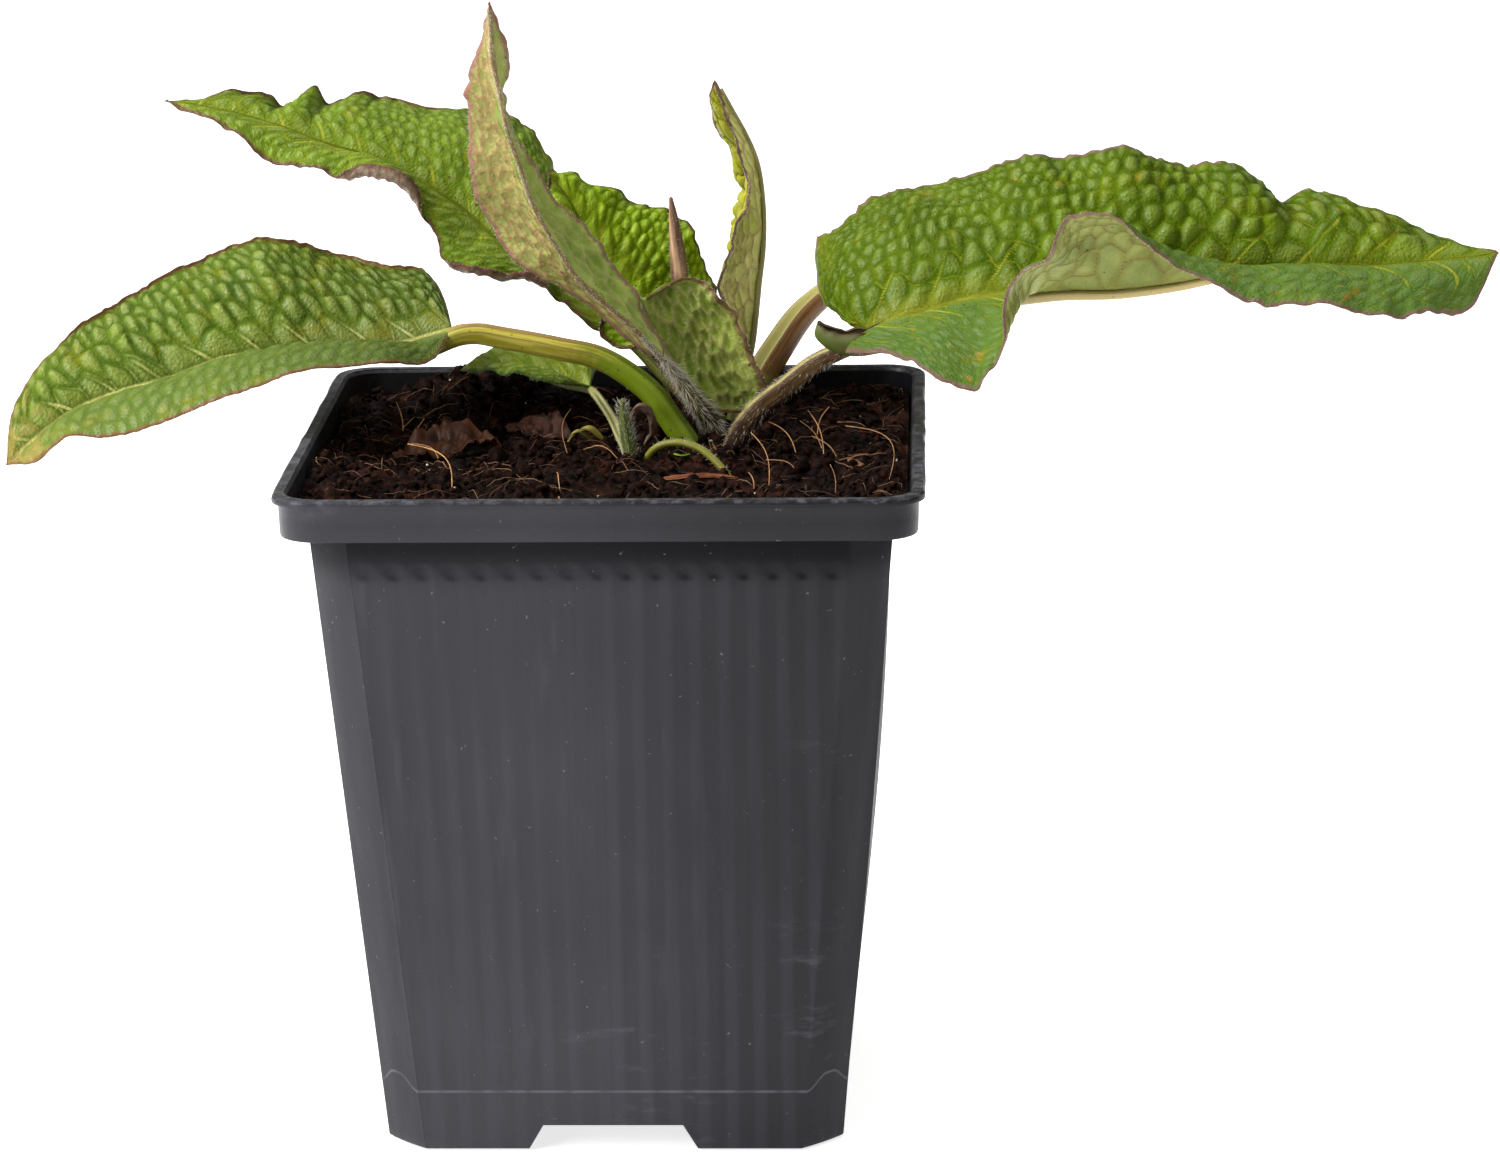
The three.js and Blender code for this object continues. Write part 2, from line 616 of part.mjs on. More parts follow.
function potBody() {
  const ledge = POT_HEIGHT - BAND_HEIGHT;
  const ring = (z, fluteDepth) => squareRing(bodyHalf(z), z, {
    corner: CHAMFER, cut: true, bowed: true, fluteDepth,
  });
  return loft([
    ring(0, 0),
    ring(SEAM_HEIGHT, 0),
    ring(FLUTE_FOOT, FLUTE_DEPTH),
    ring(40, FLUTE_DEPTH),
    ring(80, FLUTE_DEPTH),
    ring(FLUTE_TOP, FLUTE_DEPTH),
    ring(FLUTE_TOP + 2.5, 0),
    ring(ledge + LEDGE / 2, 0),
  ]);
}

function potRim() {
  const ledge = POT_HEIGHT - BAND_HEIGHT;
  const under = POT_HEIGHT - LIP_HEIGHT;
  const round = { corner: LIP_CORNER };
  return loft([
    squareRing(BAND_HALF - 0.3, ledge, round),
    squareRing(BAND_HALF, ledge + 0.5, round),
    squareRing(BAND_HALF + 0.2, under - 0.3, round),
    squareRing(LIP_HALF, under, round),
    squareRing(LIP_HALF, POT_HEIGHT - 0.4, round),
    squareRing(LIP_HALF - 0.4, POT_HEIGHT, round),
  ]);
}

// The raised channels under the floor cross in the middle and show as cut-outs at the foot
function footChannel(turned) {
  const reach = LIP_HALF;
  const ring = (end) => [
    [end * reach, -CHANNEL_HALF_BOTTOM - 0.6, -1], [end * reach, CHANNEL_HALF_BOTTOM + 0.6, -1],
    [end * reach, CHANNEL_HALF_TOP, FOOT_HEIGHT], [end * reach, -CHANNEL_HALF_TOP, FOOT_HEIGHT],
  ].map(([x, y, z]) => new THREE.Vector3(x, y, z)
    .applyAxisAngle(new THREE.Vector3(0, 0, 1), turned ? Math.PI / 2 : 0));
  return loft([ring(-1), ring(1)]);
}

function potSolid() {
  let pot = potBody().add(potRim()).subtract(potRoom(0));
  pot = pot.subtract(footChannel(false)).subtract(footChannel(true));
  pot = pot.add(drum(0, 0, 0, FOOT_HEIGHT + 0.5, PAD_RADIUS, 20));
  for (let turn = 0; turn < 4; turn++) {
    const angle = (turn * Math.PI) / 2;
    const corner = angle + Math.PI / 4;
    const diagonal = DRAIN_REACH * 1.5;
    pot = pot.subtract(drum(DRAIN_REACH * Math.cos(angle), DRAIN_REACH * Math.sin(angle),
      -1, FOOT_HEIGHT + WALL + 1, DRAIN_RADIUS, 12));
    pot = pot.subtract(drum(diagonal * Math.cos(corner), diagonal * Math.sin(corner),
      -1, WALL + 1, DRAIN_RADIUS, 12));
  }
  return pot;
}

// Soil

// Repeatable random numbers between 0 and 1
function randomFrom(seed) {
  let state = seed;
  return () => {
    state = (state + 0x6d2b79f5) | 0;
    let t = Math.imul(state ^ (state >>> 15), 1 | state);
    t = (t + Math.imul(t ^ (t >>> 7), 61 | t)) ^ t;
    return ((t ^ (t >>> 14)) >>> 0) / 4294967296;
  };
}

// Smooth random lumps on a square lattice
function lumps(seed, pitch) {
  const random = randomFrom(seed);
  const size = 32;
  const values = Array.from({ length: size * size }, () => random() * 2 - 1);
  return (x, y) => {
    const gx = x / pitch + size / 2;
    const gy = y / pitch + size / 2;
    const ix = Math.floor(gx);
    const iy = Math.floor(gy);
    const value = (i, j) => values[(((iy + j) + size) % size) * size + (((ix + i) + size) % size)];
    const fx = THREE.MathUtils.smoothstep(gx - ix, 0, 1);
    const fy = THREE.MathUtils.smoothstep(gy - iy, 0, 1);
    return lerp(lerp(value(0, 0), value(1, 0), fx), lerp(value(0, 1), value(1, 1), fx), fy);
  };
}

const coarseLumps = lumps(7, SOIL_LUMP);
const fineLumps = lumps(19, SOIL_LUMP / 2);

function soilHeight(x, y) {
  const edge = THREE.MathUtils.smoothstep(Math.max(Math.abs(x), Math.abs(y)), 38, 48);
  const rough = SOIL_ROUGHNESS * (1 - 0.6 * edge);
  let z = SOIL_LEVEL + SOIL_EDGE_RISE * edge;
  z += rough * (0.5 * coarseLumps(x, y) + 0.35 * fineLumps(x, y));
  for (const [hx, hy, height, radius] of SOIL_HEAPS) {
    z += height * Math.exp(-((x - hx) ** 2 + (y - hy) ** 2) / radius ** 2);
  }
  return z;
}

// A block under the soil's surface, wide enough to fill the pot
function soilBlock() {
  const reach = LIP_HALF;
  const points = [];
  const triangles = [];
  const side = SOIL_CELLS + 1;
  const at = (i) => lerp(-reach, reach, i / SOIL_CELLS);
  for (let j = 0; j < side; j++) {
    for (let i = 0; i < side; i++) {
      points.push(new THREE.Vector3(at(i), at(j), soilHeight(at(i), at(j))));
    }
  }
  for (let j = 0; j < SOIL_CELLS; j++) {
    for (let i = 0; i < SOIL_CELLS; i++) {
      const a = j * side + i;
      triangles.push([a, a + 1, a + side + 1], [a, a + side + 1, a + side]);
    }
  }
  const rim = [];
  for (let i = 0; i < SOIL_CELLS; i++) rim.push(i);
  for (let j = 0; j < SOIL_CELLS; j++) rim.push(j * side + SOIL_CELLS);
  for (let i = SOIL_CELLS; i > 0; i--) rim.push(SOIL_CELLS * side + i);
  for (let j = SOIL_CELLS; j > 0; j--) rim.push(j * side);
  const foot = points.length;
  for (const k of rim) points.push(new THREE.Vector3(points[k].x, points[k].y, -5));
  points.push(new THREE.Vector3(0, 0, -5));
  for (let k = 0; k < rim.length; k++) {
    const next = (k + 1) % rim.length;
    triangles.push([rim[k], foot + k, foot + next], [rim[k], foot + next, rim[next]]);
    triangles.push([foot + next, foot + k, foot + rim.length]);
  }
  return solid(points, triangles);
}

function rootstockSolid(grow) {
  const radii = ROOT_HEAD.radii.map((radius) => radius + grow);
  let rootstock = ball(ROOT_HEAD.centre, radii, 6, 10);
  for (const { route, radii: ends } of ROOTS) {
    const count = route.length - 1;
    const sizes = route.map((_, i) => lerp(ends[0], ends[1], i / count));
    rootstock = rootstock.add(tube(route, sizes, 5, 14, grow));
  }
  return rootstock;
}

function shootSolid({ route, radii }, grow) {
  return tube(route, radii, 6, 4, grow);
}

// Dry litter: a bent pointed sheet

function litterSolid(piece, grow) {
  const place = new THREE.Matrix4().makeRotationFromEuler(
    new THREE.Euler(radians(piece.tip[0]), radians(piece.tip[1]), radians(piece.turn), 'ZYX'),
  ).setPosition(...piece.at, soilHeight(...piece.at) + piece.over);
  const surface = (u, v) => {
    const width = (piece.width / 2 + grow) * Math.sin(Math.PI * u) ** 0.7;
    const along = (piece.length + 2 * grow) * (u - 0.5);
    const rise = piece.bend * (v * v * Math.sin(Math.PI * u) - (2 * u - 1) ** 2 * 0.6);
    return new THREE.Vector3(along, width * v, rise).applyMatrix4(place);
  };
  return sheet(surface, 8, 4, LITTER_THICKNESS + 2 * grow);
}

// A seedling: a thread stem with two seed leaves
function seedlingSolid(grow) {
  const stem = tube([[-3.5, 16, 109], [-4, 15, 113], [-5.5, 13.5, 115.5], [-7, 12.5, 116.8]],
    [0.5, 0.45, 0.45, 0.5], 6, 4, grow);
  if (grow > 0) return stem;
  const seedLeaf = (start, end, width, dip) => {
    const surface = (u, v) => {
      const point = vector(start).lerp(vector(end), u);
      point.z += 1.2 * Math.sin(Math.PI * u) - dip * u * u;
      point.y += width * v * Math.sin(Math.PI * u) ** 0.6;
      point.x += 0.3 * width * v;
      return point;
    };
    return sheet(surface, 6, 2, 0.6);
  };
  return stem
    .add(seedLeaf([-6.6, 12.6, 116.6], [-9.5, 12.2, 114.8], 1.3, 1.2))
    .add(seedLeaf([-7, 12.6, 116.8], [-3, 12.4, 116.6], 1, 1.4));
}

// A sprout: a short stem with one small leaf
function sproutSolid(grow) {
  const stem = tube([[12, 2, 109], [12, 2, 113], [11.8, 1.8, 114.2]], [0.5, 0.5, 0.5], 6, 3, grow);
  if (grow > 0) return stem;
  const surface = (u, v) => {
    const width = 1.5 * Math.sin(Math.PI * u) ** 0.7;
    return new THREE.Vector3(11.8 + width * v, 1.8 - 2.4 * u, 113.8 + 2.6 * u - 1.1 * u * u);
  };
  return stem.add(sheet(surface, 6, 2, 0.6));
}

// A dried leaf curled into an open ring, standing in the soil behind the hairy shoot
function curledLeafSolid(grow) {
  const route = [];
  for (let k = 0; k <= 7; k++) {
    const angle = radians(lerp(-70, 230, k / 7));
    route.push([4.4 + 1.9 * Math.cos(angle), 9 + 0.25 * k, 118.4 + 3.4 * Math.sin(angle)]);
  }
  const start = [[4.6, 8.6, 109], [4.8, 8.8, 112.5]];
  const radii = [0.5, 0.5, 0.55, 0.6, 0.7, 0.7, 0.7, 0.6, 0.5, 0.4];
  return tube([...start, ...route], radii, 6, 2.6, grow);
}

// Soil with a hole for whatever stands or lies in it
function soilSolid() {
  let soil = soilBlock().intersect(potRoom(GAP));
  const holes = [rootstockSolid(GAP), seedlingSolid(GAP), sproutSolid(GAP), curledLeafSolid(GAP)];
  for (const leaf of Object.values(LEAVES)) holes.push(stalkAndRib(leaf, new Spine(leaf), GAP));
  for (const shoot of Object.values(SHOOTS)) holes.push(shootSolid(shoot, GAP));
  for (const piece of Object.values(LITTER)) holes.push(litterSolid(piece, GAP));
  for (const hole of holes) soil = soil.subtract(hole);
  return soil;
}

// Scene

function meshFrom(name, body, { colour, roughness = 0.7, metalness = 0 }) {
  const { vertProperties, triVerts } = body.getMesh();
  const geometry = new THREE.BufferGeometry();
  geometry.setAttribute('position', new THREE.BufferAttribute(vertProperties, 3));
  geometry.setIndex(new THREE.BufferAttribute(triVerts, 1));
  geometry.computeVertexNormals();
  const mesh = new THREE.Mesh(geometry, new THREE.MeshStandardMaterial({
    color: colour, roughness, metalness, flatShading: true,
  }));
  mesh.name = name;
  return mesh;
}

const pottedComfrey = new THREE.Group();
pottedComfrey.name = 'potted_comfrey';
pottedComfrey.add(meshFrom('pot', potSolid(), { colour: 0x3b3b41, roughness: 0.5 }));
pottedComfrey.add(meshFrom('soil', soilSolid(), { colour: 0x2b1d16, roughness: 0.95 }));
pottedComfrey.add(meshFrom('rootstock', rootstockSolid(0), { colour: 0x9c7147, roughness: 0.8 }));
for (const [name, leaf] of Object.entries(LEAVES)) {
  pottedComfrey.add(meshFrom(name, leafSolid(leaf), { colour: leaf.colour, roughness: 0.55 }));
}
for (const [name, shoot] of Object.entries(SHOOTS)) {
  pottedComfrey.add(meshFrom(name, shootSolid(shoot, 0), { colour: shoot.colour }));
}
for (const [name, piece] of Object.entries(LITTER)) {
  pottedComfrey.add(meshFrom(name, litterSolid(piece, 0), { colour: piece.colour }));
}
pottedComfrey.add(meshFrom('seedling', seedlingSolid(0), { colour: 0xa9ab63 }));
pottedComfrey.add(meshFrom('sprout', sproutSolid(0), { colour: 0x6f9a3a }));
pottedComfrey.add(meshFrom('dry_leaf_curled', curledLeafSolid(0), { colour: 0x6b4a35 }));

export default pottedComfrey;
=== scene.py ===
# Looks of the potted comfrey. Lengths in this file are millimetres, and meshes are made in metres.
import math

import bmesh
import bpy
import numpy as np
from mathutils import Matrix, Vector


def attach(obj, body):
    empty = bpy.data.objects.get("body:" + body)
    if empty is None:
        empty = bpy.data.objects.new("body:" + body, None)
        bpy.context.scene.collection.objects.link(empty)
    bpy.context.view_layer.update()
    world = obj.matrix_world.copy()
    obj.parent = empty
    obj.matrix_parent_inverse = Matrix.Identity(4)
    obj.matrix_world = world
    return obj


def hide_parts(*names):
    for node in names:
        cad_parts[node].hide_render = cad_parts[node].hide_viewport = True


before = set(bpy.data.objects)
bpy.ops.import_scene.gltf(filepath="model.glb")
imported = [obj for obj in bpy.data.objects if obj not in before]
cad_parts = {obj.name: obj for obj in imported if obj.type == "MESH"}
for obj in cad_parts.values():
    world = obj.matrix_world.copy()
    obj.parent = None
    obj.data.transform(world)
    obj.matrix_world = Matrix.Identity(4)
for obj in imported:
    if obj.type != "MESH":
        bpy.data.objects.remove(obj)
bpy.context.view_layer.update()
MM = 0.001

# Pot sizes, as in the part's source
POT_HEIGHT = 120
LIP_HALF = 55
LIP_CORNER = 7
BAND_HALF = 53.7
BAND_HEIGHT = 7.5
BODY_TOP_HALF = 49.5
BASE_HALF = 40
CHAMFER = 7
WALL = 1.3
LEDGE = 0.8
SEAM_HEIGHT = 11
FLUTES = 17
FLUTE_DEPTH = 0.35
FLUTE_FOOT = 14
FLUTE_TOP = 105
WALL_BOW = 1.4
FOOT_HEIGHT = 4.6
CHANNEL_HALF_TOP = 12.2
CHANNEL_HALF_BOTTOM = 14.8
PAD_RADIUS = 9
DRAIN_RADIUS = 3.5
DRAIN_REACH = 24

# Soil sizes, as in the part's source; a heap holds x, y, height and radius
SOIL_LEVEL = 113
SOIL_CELLS = 18
SOIL_ROUGHNESS = 1.6
SOIL_EDGE_RISE = 1.7
SOIL_LUMP = 9
SOIL_HEAPS = [(-24, 42, 7, 13), (12, 20, 1.5, 16), (-40, -20, 1.5, 14)]

# Leaves, as in the part's source but for small changes to some stalks, margins and waves. Face is the
# way that the upper side looks, radii are the stalk's at its foot and at the blade, and wave is the
# height and number of the margin's waves. A row of a margin holds a place along the midrib, the
# half-width there and the lift of that half in degrees
LEAVES = {
    "leaf_low_left": {
        "face": (0, 0, 1),
        "stalk": [(14, 14, 108), (13, 14, 113), (10, 15, 117.5), (6, 16, 123), (2, 17, 126.2),
                  (-3, 18, 129), (-11, 18, 131), (-20, 19, 132.6)],
        "rib": [(-30, 19, 134), (-39, 18, 132), (-51, 17, 132), (-61, 16, 131), (-71, 14, 130),
                (-80, 12, 127), (-89, 10, 125), (-97, 8, 122), (-103, 6, 118), (-109, 4, 113)],
        "left": [(5, 10, -15), (11, 17, 0), (20, 20, 0), (31, 22, 0), (41, 22, -5), (50, 21, -5),
                 (58, 20, -10), (66, 17, -10), (74, 12, 0), (81, 7, -10)],
        "right": [(1, 10, 25), (2, 17, 25), (11, 20, 30), (20, 23, 30), (30, 25, 40), (39, 25, 35),
                  (49, 22, 35), (61, 18, 35), (70, 13, 40), (79, 7, 40)],
        "radii": (2.5, 2.1),
        "wave": (0.2, 6),
    },
    "leaf_back_left": {
        "face": (0, -0.3, 1),
        "stalk": [(13, 39, 108), (14, 39, 112), (12, 40, 116), (8, 41, 120), (4, 42, 124)],
        "rib": [(-1, 43, 129), (-9, 45, 135), (-16, 47, 140), (-24, 49, 145), (-30, 51, 150),
                (-36, 52, 154), (-45, 54, 159), (-55, 55, 162), (-66, 56, 166), (-78, 57, 169),
                (-86, 57, 170)],
        "left": [(3, 3, -30), (12, 4, 5), (21, 7.5, 0), (27, 10.5, -5), (32, 11.5, -15),
                 (38, 9, -10), (43, 7.5, 0), (48, 9, 15), (57, 8.5, 8), (62, 9, -6),
                 (66, 8.8, -14), (71, 8.6, -20), (76, 8, -25), (84, 5.5, -10)],
        "right": [(13, 12, 0), (20, 18, 5), (32, 24, 5), (38, 26.5, 10), (50, 24.5, 5), (54, 21, 0),
                  (59, 19, 5), (66, 16.5, 5), (70, 13, -5), (73, 12.5, 5), (77, 8, -10),
                  (80, 7.5, 5), (87, 3.5, 5)],
        "radii": (1.8, 1.2),
        "wave": (0.9, 6),
    },
    "leaf_tall": {
        "face": (0.2, 1, 0),
        "stalk": [(19, 21, 108), (17, 20, 114), (16, 20, 117), (14, 18, 120), (11, 17, 125)],
        "rib": [(8, 16, 129), (4, 15, 134), (-1, 14, 139), (-6, 12, 144), (-11, 11, 152),
                (-14, 10, 158), (-16, 8, 165), (-18, 6, 172), (-19, 4, 179), (-20, 2, 185),
                (-20, 0, 191), (-20, -2, 196)],
        "left": [(1, 3, 75), (5, 5, 85), (11, 8, 70), (17, 11, 70), (27, 13, 80), (33, 13, 90),
                 (40, 12, 100), (48, 9, 100), (57, 7, 105), (63, 5, 70), (70, 3, 65)],
        "right": [(2, 3, 45), (10, 6, 50), (17, 8, 55), (26, 11, 35), (33, 14, 35), (38, 14, 30),
                  (46, 13, 35), (54, 11, 35), (62, 8, 40), (67, 5, 45), (73, 3, 50)],
        "radii": (2.1, 1.5),
        "wave": (0.4, 5),
    },
    "leaf_back_centre": {
        "face": (0, -1, 0.3),
        "stalk": [(17, 34, 108), (17, 34, 111), (17, 34, 114), (14, 34, 117)],
        "rib": [(11, 35, 122), (7, 36, 128), (2, 37, 135), (-3, 38, 142), (-7, 39, 148),
                (-10, 40, 154), (-14, 41, 159)],
        "left": [(3, 3, 50), (8, 5, 50), (10, 7, 30), (15, 8.5, 25), (19, 7, 30), (27, 5.5, 30),
                 (34, 4, 25), (41, 3, 20)],
        "right": [(2, 5.5, -10), (7, 11, -10), (13, 15.5, -15), (19, 17, -15), (23, 17.5, -20),
                  (27, 16.5, -25), (30, 13.5, -30), (34, 12, -35), (36, 11.5, -35), (39, 7.5, -45),
                  (42, 5.5, -45)],
        "radii": (1.5, 1),
        "wave": (0.6, 5),
    },
    "leaf_young": {
        "face": (0.3, 1, 0),
        "stalk": [(18, 26, 108), (17, 26, 112), (16, 26, 115)],
        "rib": [(15, 26, 118), (12, 26, 122), (9, 27, 127), (6, 27, 132), (4, 27, 136), (3, 27, 139)],
        "left": [(-5, 3, 15), (-3, 9, 15), (5, 13, 15), (13, 14, 15), (18, 13, 20), (23, 11.5, 25),
                 (24, 9.5, 30), (24, 6, 30), (23, 3, 35)],
        "right": [(3, 2, 15), (9, 3, 10), (15, 2.5, 5), (20, 2, 15)],
        "radii": (1.2, 0.8),
        "wave": (0.4, 4),
    },
    "leaf_narrow": {
        "face": (-1, 0, 0.15),
        "stalk": [(21, 31, 108), (20, 31, 112), (20, 32, 116), (21, 33, 119)],
        "rib": [(22, 34, 124), (23, 36, 130), (24, 38, 138), (25, 39, 146), (25, 40, 154),
                (24, 40, 161), (22, 40, 166), (20, 39, 170), (17, 38, 176)],
        "left": [(6, 6.5, 15), (14, 10, 20), (20, 11.5, 25), (29, 10.5, 25), (32, 8.5, 20),
                 (34, 8, 30), (41, 6.5, 40), (47, 5.5, 55), (52, 3, 60)],
        "right": [(3, 4, 40), (9, 7.5, 40), (15, 10.5, 40), (22, 10.5, 30), (28, 8.5, 25),
                  (34, 6.5, 15), (38, 4.5, 30), (44, 3.5, 25), (50, 2, 20)],
        "radii": (2, 1.2),
        "wave": (0.4, 5),
    },
    "leaf_large_right": {
        "face": (0, 0, 1),
        "stalk": [(20, 10, 108), (20, 10, 112), (21, 9, 116), (25, 8, 122), (30, 8, 126),
                  (35, 8, 130), (41, 7, 133)],
        "rib": [(46, 7, 135), (49, 6, 138), (56, 6, 140), (63, 6, 142), (70, 5, 143), (79, 4, 144),
                (88, 4, 144), (98, 4, 145), (108, 3, 147), (120, 3, 148), (133, 3, 148),
                (145, 3, 149), (155, 3, 150)],
        "left": [(-10, 19, 20), (-10, 26, 30), (-1, 29, 40), (6, 30, 35), (16, 30, 35), (21, 29, 40),
                 (28, 29, 45), (35, 28, 45), (48, 27, 55), (59, 25, 45), (69, 23, 40), (75, 20, 25),
                 (80, 19, 35), (91, 15, 30), (100, 11, 15), (107, 5, 5)],
        "right": [(-9, 4, 15), (-5, 7, 0), (4, 12, -25), (10, 22, -20), (14, 25, -25),
                  (25, 24, -20), (27, 22, -10),
                  (27, 20, 0), (30, 20, 20), (34, 21, 25), (36, 23, 40), (41, 24, 45), (48, 23, 35),
                  (56, 20, 20), (62, 19, 5), (68, 19, -5), (77, 19, -10), (89, 17, -20),
                  (97, 14, -30), (106, 9, -55)],
        "radii": (2.3, 1.5),
        "wave": (0.5, 6),
    },
    "leaf_back_right": {
        "face": (0, 0, 1),
        "stalk": [(22, 38, 108), (21, 39, 112), (22, 41, 115), (24, 44, 119), (28, 48, 125),
                  (32, 52, 130), (36, 56, 133)],
        "rib": [(41, 60, 136), (50, 66, 138), (60, 72, 139), (69, 78, 139), (79, 83, 139),
                (87, 88, 139)],
        "left": [(2, 8, 0), (12, 16, 0), (24, 16, 5), (33, 14.5, 10), (42, 12.5, 10), (51, 6.5, 5)],
        "right": [(-6, 13.5, 5), (5, 15.5, 0), (18, 13.5, 0), (31, 10.5, -5), (45, 4, -15)],
        "radii": (3.2, 2.0),
        "wave": (0.9, 5),
    },
    "leaf_small": {
        "face": (0, -0.2, 1),
        "stalk": [(2, 6, 108), (2, 6, 113), (0, 13, 116), (-2, 20, 118), (-5, 25, 121)],
        "rib": [(-6, 28, 121.5), (-11, 30, 122.5), (-16, 31, 124), (-22, 31, 125), (-26, 31, 125),
                (-30, 31, 124)],
        "left": [(1, 4, 20), (3, 9, 20), (8, 10.5, 20), (15, 9.5, 15), (20, 5, 10)],
        "right": [(3, 9, 5), (8, 13.5, 0), (12, 16, -5), (16, 14, -5), (21, 8, -10)],
        "radii": (0.95, 0.8),
        "wave": (0.3, 4),
    },
}
HALF_BULGE = 0.1
STALK_SUNK = 0.95


# Numbers


def smoothstep(low, high, value):
    t = np.clip((value - low) / (high - low), 0, 1)
    return t * t * (3 - 2 * t)


def bell(value, width):
    """1 where the value is nothing, falling softly to 0 on both sides."""
    return np.exp(-(value / width) ** 2)


def unit(vectors):
    length = np.linalg.norm(vectors, axis=-1, keepdims=True)
    return vectors / np.maximum(length, 1e-9)


def dot(a, b):
    return np.sum(a * b, axis=-1)


def around(sides):
    """Angles of a circle's points."""
    return 2 * np.pi * np.arange(sides) / sides


def lattice(values, pitch):
    """A smooth function over a plane through a square of values, which repeats."""
    size = len(values)

    def at(x, y):
        gx, gy = np.asarray(x, float) / pitch + size / 2, np.asarray(y, float) / pitch + size / 2
        ix, iy = np.floor(gx).astype(int), np.floor(gy).astype(int)
        fx, fy = smoothstep(0, 1, gx - ix), smoothstep(0, 1, gy - iy)

        def row(j):
            line = (iy + j) % size
            return values[line, ix % size] * (1 - fx) + values[line, (ix + 1) % size] * fx

        return row(0) * (1 - fy) + row(1) * fy

    return at


def lattice_noise(seed, pitch, size=64):
    return lattice(np.random.default_rng(seed).uniform(-1, 1, (size, size)), pitch)


# Curves


class Track:
    """A smooth curve through points, each with its own knot."""

    def __init__(self, knots, points):
        self.knots = np.asarray(knots, float)
        self.points = np.asarray(points, float)
        spans = np.diff(self.knots)[:, None]
        chords = np.diff(self.points, axis=0) / spans
        inner = (chords[1:] * spans[:-1] + chords[:-1] * spans[1:]) / (spans[:-1] + spans[1:])
        self.slopes = np.vstack([chords[:1], inner, chords[-1:]])

    def at(self, places):
        t = np.clip(np.asarray(places, float), self.knots[0], self.knots[-1])
        i = np.clip(np.searchsorted(self.knots, t, side="right") - 1, 0, len(self.knots) - 2)
        span = (self.knots[i + 1] - self.knots[i])[..., None]
        s = (t - self.knots[i])[..., None] / span
        return ((2 * s**3 - 3 * s**2 + 1) * self.points[i]
                + (s**3 - 2 * s**2 + s) * span * self.slopes[i]
                + (3 * s**2 - 2 * s**3) * self.points[i + 1]
                + (s**3 - s**2) * span * self.slopes[i + 1])


def lengths_along(points):
    steps = np.linalg.norm(np.diff(np.asarray(points, float), axis=0), axis=1)
    return np.concatenate([[0], np.cumsum(steps)])


def fine_route(route, radii, step):
    """A route and its radii, sampled finely along a smooth curve, and the places of the samples."""
    track = Track(lengths_along(route), np.column_stack([route, radii]))
    places = np.linspace(0, track.knots[-1], max(3, int(track.knots[-1] / step)) + 1)
    samples = track.at(places)
    return samples[:, :3], samples[:, 3], places


def carried_sides(along, first):
    """A side direction carried along a curve with as little turning as possible."""
    sides = np.empty_like(along)
    side = np.asarray(first, float)
    for i, direction in enumerate(along):
        side = side - direction * (side @ direction)
        side = side / np.linalg.norm(side)
        sides[i] = side
    return sides


class Spine:
    """A leaf's centreline, with the side and the upper side at each place; the blade starts at 0."""

    def __init__(self, leaf):
        points = leaf["stalk"] + leaf["rib"]
        lengths = lengths_along(points)
        start = lengths[len(leaf["stalk"])]
        self.track = Track(lengths - start, points)
        self.length = lengths[-1] - start
        self.start = -start
        self.face = np.array(leaf["face"], float)
        self.table = np.linspace(0, self.start, int(start) + 1)
        first = unit(np.cross(self.face, self.along(np.array([0.0]))))[0]
        self.table_sides = carried_sides(self.along(self.table), first)

    def along(self, places):
        return unit(self.track.at(places + 0.5) - self.track.at(places - 0.5))

    def frame(self, places):
        along = self.along(places)
        side = unit(np.cross(self.face, along))
        for axis in range(3):
            carried = np.interp(-places, -self.table, self.table_sides[:, axis])
            side[:, axis] = np.where(places < 0, carried, side[:, axis])
        side = unit(side - along * dot(side, along)[:, None])
        return along, side, np.cross(along, side)

    def margin(self, rows, sign):
        """The edge of one half; its knots share distance along the midrib and along the edge."""
        places, width, lift = np.array(rows, float).T
        width, lift = width[:, None], np.radians(lift)[:, None]
        _, side, up = self.frame(places)
        edge = self.track.at(places) + side * sign * width * np.cos(lift) + up * width * np.sin(lift)
        points = np.vstack([self.track.at(0), edge, self.track.at(self.length)])
        lengths = lengths_along(points)
        shares = np.concatenate([[0], places, [self.length]]) / self.length
        return Track(0.5 * lengths / lengths[-1] + 0.5 * shares, points)


# Meshes


def grid_faces(rows, columns, closed=False):
    """Quads over a grid of points; a closed grid joins its last column to its first."""
    i = np.arange(rows - 1)[:, None] * columns
    j = np.arange(columns if closed else columns - 1)[None, :]
    a, b = i + j, i + (j + 1) % columns
    return np.stack([a, b, b + columns, a + columns], axis=-1).reshape(-1, 4)


def fan(ring, centre, flip=False):
    """Triangles from a ring of point numbers to a centre point."""
    ring = np.asarray(ring)
    following = np.roll(ring, -1)
    first, second = (following, ring) if flip else (ring, following)
    return np.stack([first, second, np.full(len(ring), centre)], axis=-1)


def tube_faces(rows, sides):
    """Faces over rings of points, closed at each end by a point that comes after them."""
    last = rows * sides
    ends = np.vstack([fan(range(sides), last, flip=True), fan(range(last - sides, last), last + 1)])
    return [grid_faces(rows, sides, closed=True), ends]


def border(rows, columns):
    """Numbers of the points round a grid, in order."""
    return np.concatenate([np.arange(columns), np.arange(1, rows) * columns + columns - 1,
                           (rows - 1) * columns + np.arange(columns - 2, -1, -1),
                           np.arange(rows - 2, 0, -1) * columns])


def circles(side, up, sides):
    """A circle of directions for each pair of directions."""
    angle = around(sides)[None, :, None]
    return side[:, None] * np.cos(angle) + up[:, None] * np.sin(angle)


